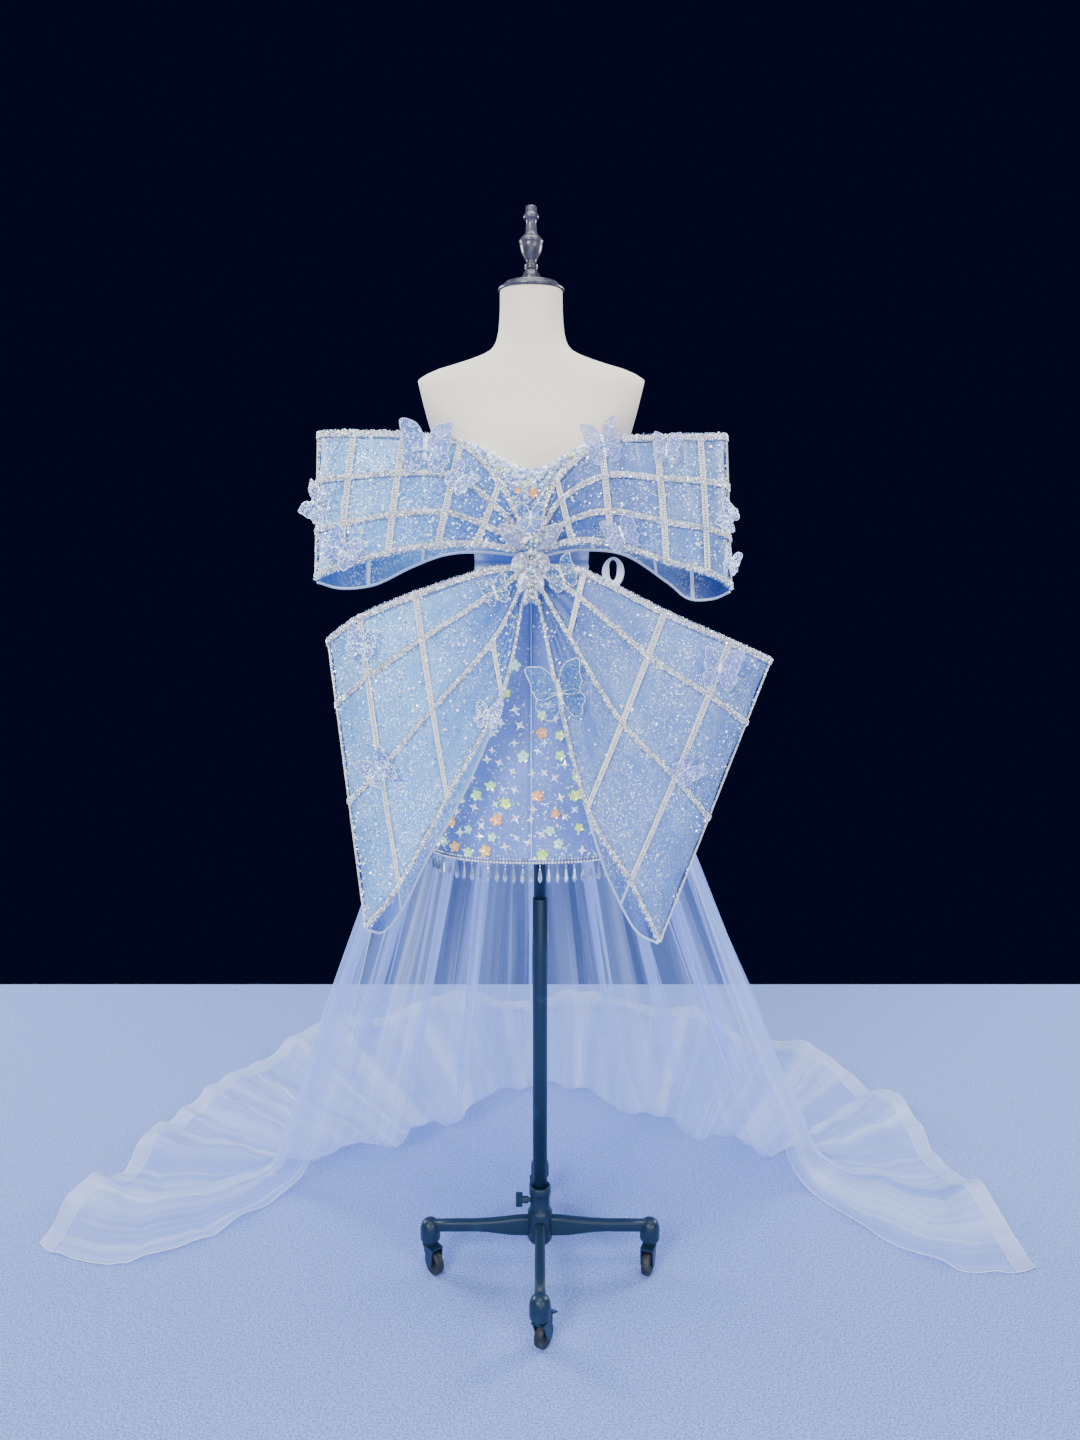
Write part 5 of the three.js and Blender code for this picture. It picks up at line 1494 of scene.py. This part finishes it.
brooch = {"y": -168.5, "wings": table("rootX rootZ tipX tipZ wide ahead dome", [
    (4, 1312, 46, 1346, 13, 24, 3.0), (4, 1304, 27, 1278, 12, 10, 4.0),
    (2, 1288, 17, 1246, 9, 6, 3.5), (1, 1262, 9, 1226, 4.5, 3, 1.5),
]), "scatter": 150, "top": 1334, "bottom": 1232, "pearls": table("x z size", [
    (-9, 1322, 4.2), (9, 1322, 4.2), (-13, 1300, 3.8), (13, 1300, 3.8), (-15, 1284, 3.6),
    (15, 1284, 3.4), (0, 1328, 3.4), (0, 1306, 4.4), (-6, 1268, 3), (7, 1262, 3.2),
    (0, 1248, 3.6), (4, 1238, 2.6),
]), "gems": table("x z size tint", [
    (0, 1317, 4.6, 0.05), (-7, 1290, 2.8, 0.3), (8, 1286, 2.8, 0.1), (1, 1276, 3.6, 0.15),
])}
wings = bmesh.new()
outward = Vector((0, -1, 0))
seats = {"bead": [], "chip": [], "stone": []}
for row in brooch["wings"]:
    for side in (-1, 1):
        root = Vector((body["axisX"] + side * row["rootX"], brooch["y"], row["rootZ"]))
        tipY = brooch["y"] - row["ahead"]
        tip = Vector((body["axisX"] + side * row["tipX"], tipY, row["tipZ"]))
        surface = wingSurface(root, tip, outward, (row["wide"], row["wide"]), 0.9, row["dome"])
        addGrid(wings, 14, 20, surface, (0.02, 0.04))
        seats["bead"] += rimSeats(surface, 2.6, 1.0, 0.2, (0.6, 0.72))
        for v in (0.25, 0.45, 0.65, 0.82):  # stones down the middle of each wing
            seats["stone"].append((seat(surface(0.5, v), outward, 2.4 - v), random.random()))
for _ in range(brooch["scatter"]):  # pearls and crystals in the middle, thinning downwards
    z = mix(brooch["top"], brooch["bottom"], random.random() ** 1.5)
    spread = mix(9, 4, (brooch["top"] - z) / (brooch["top"] - brooch["bottom"]))
    x = body["axisX"] + random.gauss(0, 0.5) * spread
    kind = random.choice(("bead", "chip", "chip", "stone"))
    normal = outward + jitter(0.6)
    point = Vector((x, brooch["y"] - random.uniform(2, 7), z))
    tint = random.choice((0.0, 0.05, 0.12, 0.25, 0.42, 0.6, 0.85))
    seats[kind].append((seat(point, normal, random.uniform(1.2, 2.6)), tint))
for row in brooch["pearls"]:
    point = Vector((body["axisX"] + row["x"], brooch["y"] - 7, row["z"]))
    seats["bead"].append((seat(point, outward, row["size"]), random.uniform(0.3, 0.65)))
broochWings = makePiece(wings, "broochWings", "silverWing", replaces=["bow_brooch"])
thicken(broochWings, 0.5, 0)
sewnPiece(seats, "broochStones", "ivoryStones", smoothed=True)
gemSeats = []
for row in brooch["gems"]:
    point = Vector((body["axisX"] + row["x"], brooch["y"] - 9, row["z"]))
    gemSeats.append((seat(point, outward, row["size"]), row["tint"]))
sewnPiece({"stone": gemSeats}, "broochGems", "blueStones", smoothed=True)
print("made the knot and the brooch")

# Butterflies: the first eight stand for the model's own. out and down are shares of a loop's
# front, span is across the wings, turn is about the panel's normal, raise lifts the wings.
butterflies = table("node loop out down span turn raise style", [
    (1, "upper_left", 0.43, 0.14, 90, 6, 10, "dense"),
    (2, "upper_left", 0.31, 0.34, 50, -30, 16, "dense"),
    (3, "upper_right", 0.34, 0.05, 74, 8, 34, "dotted"),
    (4, "upper_right", 0.53, 0.12, 52, -8, 30, "dotted"),
    (5, "upper_right", 0.37, 0.86, 62, 14, 20, "dotted"),
    (6, "lower_left", 0.60, 0.10, 58, -20, 20, "dense"),
    (7, "lower_left", 0.60, 0.55, 64, 30, 20, "dense"),
    (8, "lower_right", 0.60, 0.12, 74, 14, 22, "dotted"),
    (0, "upper_left", 0.86, 0.50, 64, 60, 8, "dense"),
    (0, "upper_left", 0.66, 0.86, 66, -25, 10, "dense"),
    (0, "upper_right", 0.84, 0.55, 50, 60, 8, "dense"),
    (0, "upper_right", 0.86, 0.84, 44, -20, 10, "dense"),
    (0, "lower_left", 0.255, 0.93, 50, -15, 18, "dense"),
    (0, "lower_left", 0.16, 0.22, 50, 10, 14, "clear"),
    (0, "lower_right", 0.22, 0.94, 104, 25, 16, "clear"),
    (0, "lower_right", 0.62, 0.50, 56, -30, 18, "dotted"),
    (0, "lower_right", 0.12, 0.12, 58, 35, 12, "clear"),
    (0, "knot", 0, 1356, 50, 0, 8, "clear"),
])
styles = {
    "dense": {"cloth": "wing", "rim": "blueStones", "dots": 210, "rimSize": 1.1, "rimGap": 2.8,
              "veins": (0.25, 0.5, 0.75)},
    "dotted": {"cloth": "lilacWing", "rim": "blueStones", "dots": 34, "rimSize": 0.8,
               "rimGap": 2.6, "veins": (0.22, 0.42, 0.62, 0.8)},
    "clear": {"cloth": "clearWing", "rim": "ivoryStones", "dots": 34, "rimSize": 0.9,
              "rimGap": 2.2, "veins": (0.5,)},
}
# Each wing is a fan from the body: its reach at angles from the tip's side to the tail's.
wingOutlines = (
    table("angle reach", [
        (76, 0.46), (66, 0.84), (54, 1.12), (45, 1.19), (36, 1.06), (24, 0.88), (10, 0.80),
        (-4, 0.70), (-14, 0.50),
    ]),
    table("angle reach", [
        (6, 0.48), (-8, 0.74), (-24, 0.84), (-42, 0.84), (-56, 0.92), (-66, 0.80), (-76, 0.52),
    ]),
)


def wingFan(outline, side, unit, lift):
    def pointAt(u, v):
        angle = mix(outline[0]["angle"], outline[-1]["angle"], v)
        reach = along(outline, "angle", "reach", angle) * (1 + 0.025 * math.sin(22 * v))
        turn = math.radians(angle)
        out = mix(0.05, reach, u)
        rise = lift + 0.05 * math.sin(math.pi * u) + 0.03 * math.sin(17 * v) * u ** 2
        return Vector((side * math.cos(turn) * out, math.sin(turn) * out, rise)) * unit

    return pointAt


# Round a wing's edge: out along its front, round its rim and back.
def wingEdge(surface, s):
    if s < 0.3:
        return surface(s / 0.3, 0)
    if s < 0.75:
        return surface(1, (s - 0.3) / 0.45)
    return surface((1 - s) / 0.25, 1)


def addButterfly(number, row):
    unit = row["span"] / 2
    style = styles[row["style"]]
    name, t, share = row["loop"], row["out"], row["down"]
    if name == "knot":
        normal, up = Vector((0, -1, 0.15)).normalized(), Vector((0, 0, 1))
        point = Vector((body["axisX"] + t, -189, share))
    else:
        normal = (loopNormal(name, "front", t, share) + Vector((0, -0.7, 0))).normalized()
        up = loopPoint(name, "front", t, 0) - loopPoint(name, "front", t, 1)
        lifted = bow["wall"] + bow["ribLift"] + bow["ribHeight"] + 0.6
        point = onLoop(name, "front", t, share, lifted)
    sideways = up.cross(normal).normalized()
    upright = normal.cross(sideways).normalized()
    turned = Matrix((sideways, upright, normal)).transposed().to_4x4()
    local = Matrix.Translation(point) @ turned @ Matrix.Rotation(math.radians(row["turn"]), 4, "Z")
    bm = bmesh.new()
    seats = {"bead": [], "chip": [], "sequin": []}
    for side in (-1, 1):
        folded = local @ Matrix.Rotation(-side * math.radians(row["raise"]), 4, "Y")
        for k, outline in enumerate(wingOutlines):
            flat = wingFan(outline, side, unit, 0.03 * (1 - k))

            def surface(u, v, flat=flat, folded=folded):
                return folded @ flat(u, v)

            def standing(u, v, surface=surface, side=side):
                ahead = surface(u, v) - surface(max(u - 0.05, 0), v)
                return ahead.cross(surface(u, max(v - 0.05, 0)) - surface(u, v)).normalized() * side

            addGrid(bm, 6, 16, surface, (0.02, 0.03), flip=side > 0)
            edge = lambda s, surface=surface: wingEdge(surface, s)
            addSweep(bm, edge, 44, 0.6, 4)
            for s in evenly(edge, style["rimGap"]):
                place = seat(edge(s), normal, style["rimSize"])
                seats["chip"].append((place, random.uniform(0.5, 0.8)))
            for vein in style["veins"]:
                for u in (0.3, 0.5, 0.7, 0.88):
                    place = seat(surface(u, vein), normal, style["rimSize"] * 0.8)
                    seats["chip"].append((place, random.uniform(0.4, 0.9)))
            for _ in range(style["dots"] // 3):
                u, v = random.uniform(0.1, 1) ** 0.6, random.uniform(0.03, 0.97)
                out = standing(u, v) if v > 0.06 else normal
                out = out if out.dot(normal) > 0 else -out
                kind = "sequin" if random.random() < 0.3 else "chip"
                size = random.uniform(0.6, 1.4)
                seats[kind].append((seat(surface(u, v), out, size), random.random()))
    for k in range(7):  # the body is a row of beads
        y = (0.34 - 0.13 * k) * unit
        size = unit * (0.07, 0.085, 0.1, 0.1, 0.085, 0.07, 0.05)[k]
        point = local @ Vector((0, y, 0))
        seats["bead"].append((seat(point, normal, max(size, 1.2)), random.uniform(0.3, 0.9)))
    for side in (-1, 1):
        def feeler(v, side=side):
            reach = Vector((side * (0.03 + 0.28 * v ** 1.4), 0.36 + 0.34 * v, 0.12 * v))
            return local @ (reach * unit)
        addSweep(bm, feeler, 12, 0.3, 5)
        seats["bead"].append((seat(feeler(1), normal, 0.9), 0.5))
    nodes = [f"butterfly_{row['node']}"] if row["node"] else []
    makePiece(bm, f"butterfly.{number}", style["cloth"], replaces=nodes)
    sewnPiece(seats, f"butterfly.{number}.beads", style["rim"])


for number, row in enumerate(butterflies, 1):
    addButterfly(number, row)
print("made the butterflies")

hanger = {"x": 113, "y": -126, "z": 1277.4, "across": (11.5, 19.5), "half": 6.0, "lean": 1.25}


def hangerPoint(u, v):  # u runs round the loop and v across the ribbon
    turn = 2 * math.pi * u
    round_ = Vector((math.sin(turn), 0, math.cos(turn)))
    middle = Vector((hanger["x"] + round_.x * hanger["across"][0], hanger["y"],
                     hanger["z"] + round_.z * hanger["across"][1]))
    lean = hanger["lean"] * (1 - 0.75 * max(round_.z, 0))
    side = Vector((round_.x * math.sin(lean), -math.cos(lean), round_.z * math.sin(lean)))
    return middle + side * (v - 0.5) * 2 * hanger["half"]


bm = bmesh.new()
made = addGrid(bm, 56, 6, hangerPoint, (0.1, 0.012))
bmesh.ops.remove_doubles(bm, verts=made, dist=1e-3)
ribbon = makePiece(bm, "ribbon", "whiteSatin", replaces=["ribbon_hanger_loop"])
thicken(ribbon, 0.7, 0)

# The train. Each line of cloth comes down to the floor and runs on to the hem; curve is how
# far the middle of what lies on the floor bends away from straight.
trainLines = table("u floorX floorY hemX hemY curve", [
    (0.0, -500, 264, -957, 70, -140), (0.1, -560, 330, -890, 290, -40),
    (0.2, -470, 340, -845, 520, 0), (0.3, -315, 374, -715, 790, 0),
    (0.4, -195, 450, -460, 1050, 0), (0.5, -10, 630, -30, 1155, 0),
    (0.6, 205, 500, 300, 1135, 0), (0.7, 350, 400, 570, 925, 0), (0.8, 480, 345, 800, 660, 0),
    (0.9, 605, 335, 870, 340, -30), (1.0, 545, 264, 917, 3, -115),
])
trainRows = [  # height and lift off the dress while it hangs, then the share of the way to the hem
    {"z": 1269, "lift": 3.3, "pleat": 0}, {"z": 1240, "lift": 8, "pleat": 1},
    {"z": 1190, "lift": 13, "pleat": 2}, {"z": 1085, "lift": 16, "pleat": 6},
    {"z": 900, "pleat": 14}, {"z": 690, "pleat": 22}, {"z": 480, "pleat": 28},
    {"z": 280, "pleat": 32}, {"z": 120, "pleat": 34}, {"z": 34, "pleat": 32},
    {"along": 0.06, "pleat": 30}, {"along": 0.3, "pleat": 24}, {"along": 0.62, "pleat": 22},
    {"along": 0.92, "pleat": 34}, {"along": 1.0, "pleat": 36},
]
train = {
    "startAngle": 100, "pleats": 10, "flare": 1.12, "columns": 520, "rows": 84,
    "doubling": 36, "fine": 31, "fineDepth": 9, "tiny": 71, "tinyDepth": 1.6,
    "flat": (3.9, 1.95), "area": 4.2, "length": 2050, "crin": 46,
    "tapeTop": 1289.3, "tapeBottom": 1269.3,
}


@functools.lru_cache(maxsize=None)
def trainLine(u):
    angle = mix(train["startAngle"], 360 - train["startAngle"], u)
    columns = ("floorX", "floorY", "hemX", "hemY", "curve")
    value = {name: along(trainLines, "u", name, u) for name in columns}
    floor = Vector((value["floorX"], value["floorY"], 0))
    hem = Vector((value["hemX"], value["hemY"], 0))
    hipRow = trainRows[3]
    hip = dressPoint(-angle, hipRow["z"], hipRow["lift"])
    line, reach, before = [], 0.0, None
    for row in trainRows:
        if "along" in row:
            bend = 4 * row["along"] * (1 - row["along"]) * value["curve"]
            point = floor.lerp(hem, row["along"]) + Vector((0, bend, 0))
        elif "lift" in row:
            point = dressPoint(-angle, row["z"], row["lift"])
        else:
            out = ((hipRow["z"] - row["z"]) / hipRow["z"]) ** train["flare"]
            point = Vector((mix(hip.x, floor.x, out), mix(hip.y, floor.y, out), row["z"]))
        reach += (point - before).length if before else 0
        before = point
        line.append({"s": reach, "x": point.x, "y": point.y, "z": point.z, "pleat": row["pleat"]})
    return line


def trainPlain(u, v):
    line = trainLine(round(min(max(u, 0), 1), 6))
    at = v * line[-1]["s"]
    return Vector([along(line, "s", name, at) for name in "xyz"])


def trainPoint(u, v, lift=0.0):
    line = trainLine(round(u, 6))
    at = v * line[-1]["s"]
    pleat = along(line, "s", "pleat", at)
    middle = trainPlain(u, v)
    across = trainPlain(min(u + 0.003, 1), v) - trainPlain(max(u - 0.003, 0), v)
    down = trainPlain(u, min(v + 0.004, 1)) - trainPlain(u, max(v - 0.004, 0))
    out = across.cross(down).normalized()
    across.normalize()
    size = 0.75 + 0.25 * math.sin(5.3 * math.pi * u + 0.8)
    turn = 2 * math.pi * train["pleats"] * u
    depth = pleat * size * (0.5 - 0.5 * math.cos(turn))
    ends = smooth(u * 25) * smooth((1 - u) * 25)
    laid = smooth((v - 0.58) / 0.12)  # how far it is on the floor
    fall = smooth(v / 0.35)
    hung = 1 - 0.6 * smooth((v - 0.55) / 0.15)
    hem = 1 + 0.5 * smooth((v - 0.8) / 0.14)
    shift = -train["doubling"] * size * math.sin(turn) * (pleat / 34) * hung * ends
    drift = noise.noise(Vector((u * 9, v * 2.2, 3.1))) * 1.4
    fine = 2 * math.pi * train["fine"] * u + 2.4 * drift
    grow = (0.12 + 0.88 * fall) * (1 - 0.45 * laid)
    uneven = 0.6 + 0.6 * noise.noise(Vector((u * 23, v * 3, 8)))
    depth = depth * hem + train["fineDepth"] * grow * math.sin(fine) * uneven
    shift += train["fineDepth"] * 1.25 * grow * math.cos(fine) * hung * ends
    tiny = 2 * math.pi * train["tiny"] * u + 3 * drift
    depth += train["tinyDepth"] * (0.35 + 0.65 * fall) * (1 - laid) * math.sin(tiny)
    if laid:  # on the floor the cloth is crumpled along its length too
        crumple = noise.noise(Vector((middle.x / 130, middle.y / 130, 1.7)))
        crumple += 0.4 * noise.noise(Vector((middle.x / 55, middle.y / 55, 5.2)))
        depth += laid * 26 * abs(crumple)
    point = middle + out * (depth + lift) + across * shift
    point.z = max(point.z, 0.8 + lift)
    return point


bm = bmesh.new()
addGrid(bm, train["columns"], train["rows"], trainPoint, train["flat"])
trainPiece = makePiece(bm, "trainCloth", "tulle", replaces=["train"])
bm = bmesh.new()
crinStart = 1 - train["crin"] / train["length"]
crinSize = (train["flat"][0], 0.05)
addGrid(bm, train["columns"], 6, lambda u, v: trainPoint(u, mix(crinStart, 1, v), 1.4), crinSize)
crin = makePiece(bm, "train.hemBand", "crin", replaces=["train_hem_band"])
bm = bmesh.new()  # rolled hems along the far edge and both sides
addSweep(bm, lambda s: trainPoint(s, 1, 1.2), 760, 0.9, 4)
addSweep(bm, lambda s: trainPoint(s, crinStart, 1.0), 760, 0.5, 4)
for u in (0, 1):
    addSweep(bm, lambda s: trainPoint(u, s, 0.8), 200, 0.9, 4)
rolled = makePiece(bm, "train.rolledHem", "whiteSatin")


def waistTapePoint(u, v):
    angle = mix(train["startAngle"], 360 - train["startAngle"], u)
    pucker = 0.35 * math.sin(2 * math.pi * 60 * u)
    return dressPoint(angle, mix(train["tapeTop"], train["tapeBottom"], v), 3.1 + pucker * v)


stretchSheet(
    "waistTape", "train_waist_tape", "blueSatin", 240, 5, waistTapePoint, 1.6, 60,
)
print("made the train")

low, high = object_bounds()
{"cad": [list(p) for p in cadBounds], "visual": [list(low), list(high)]}
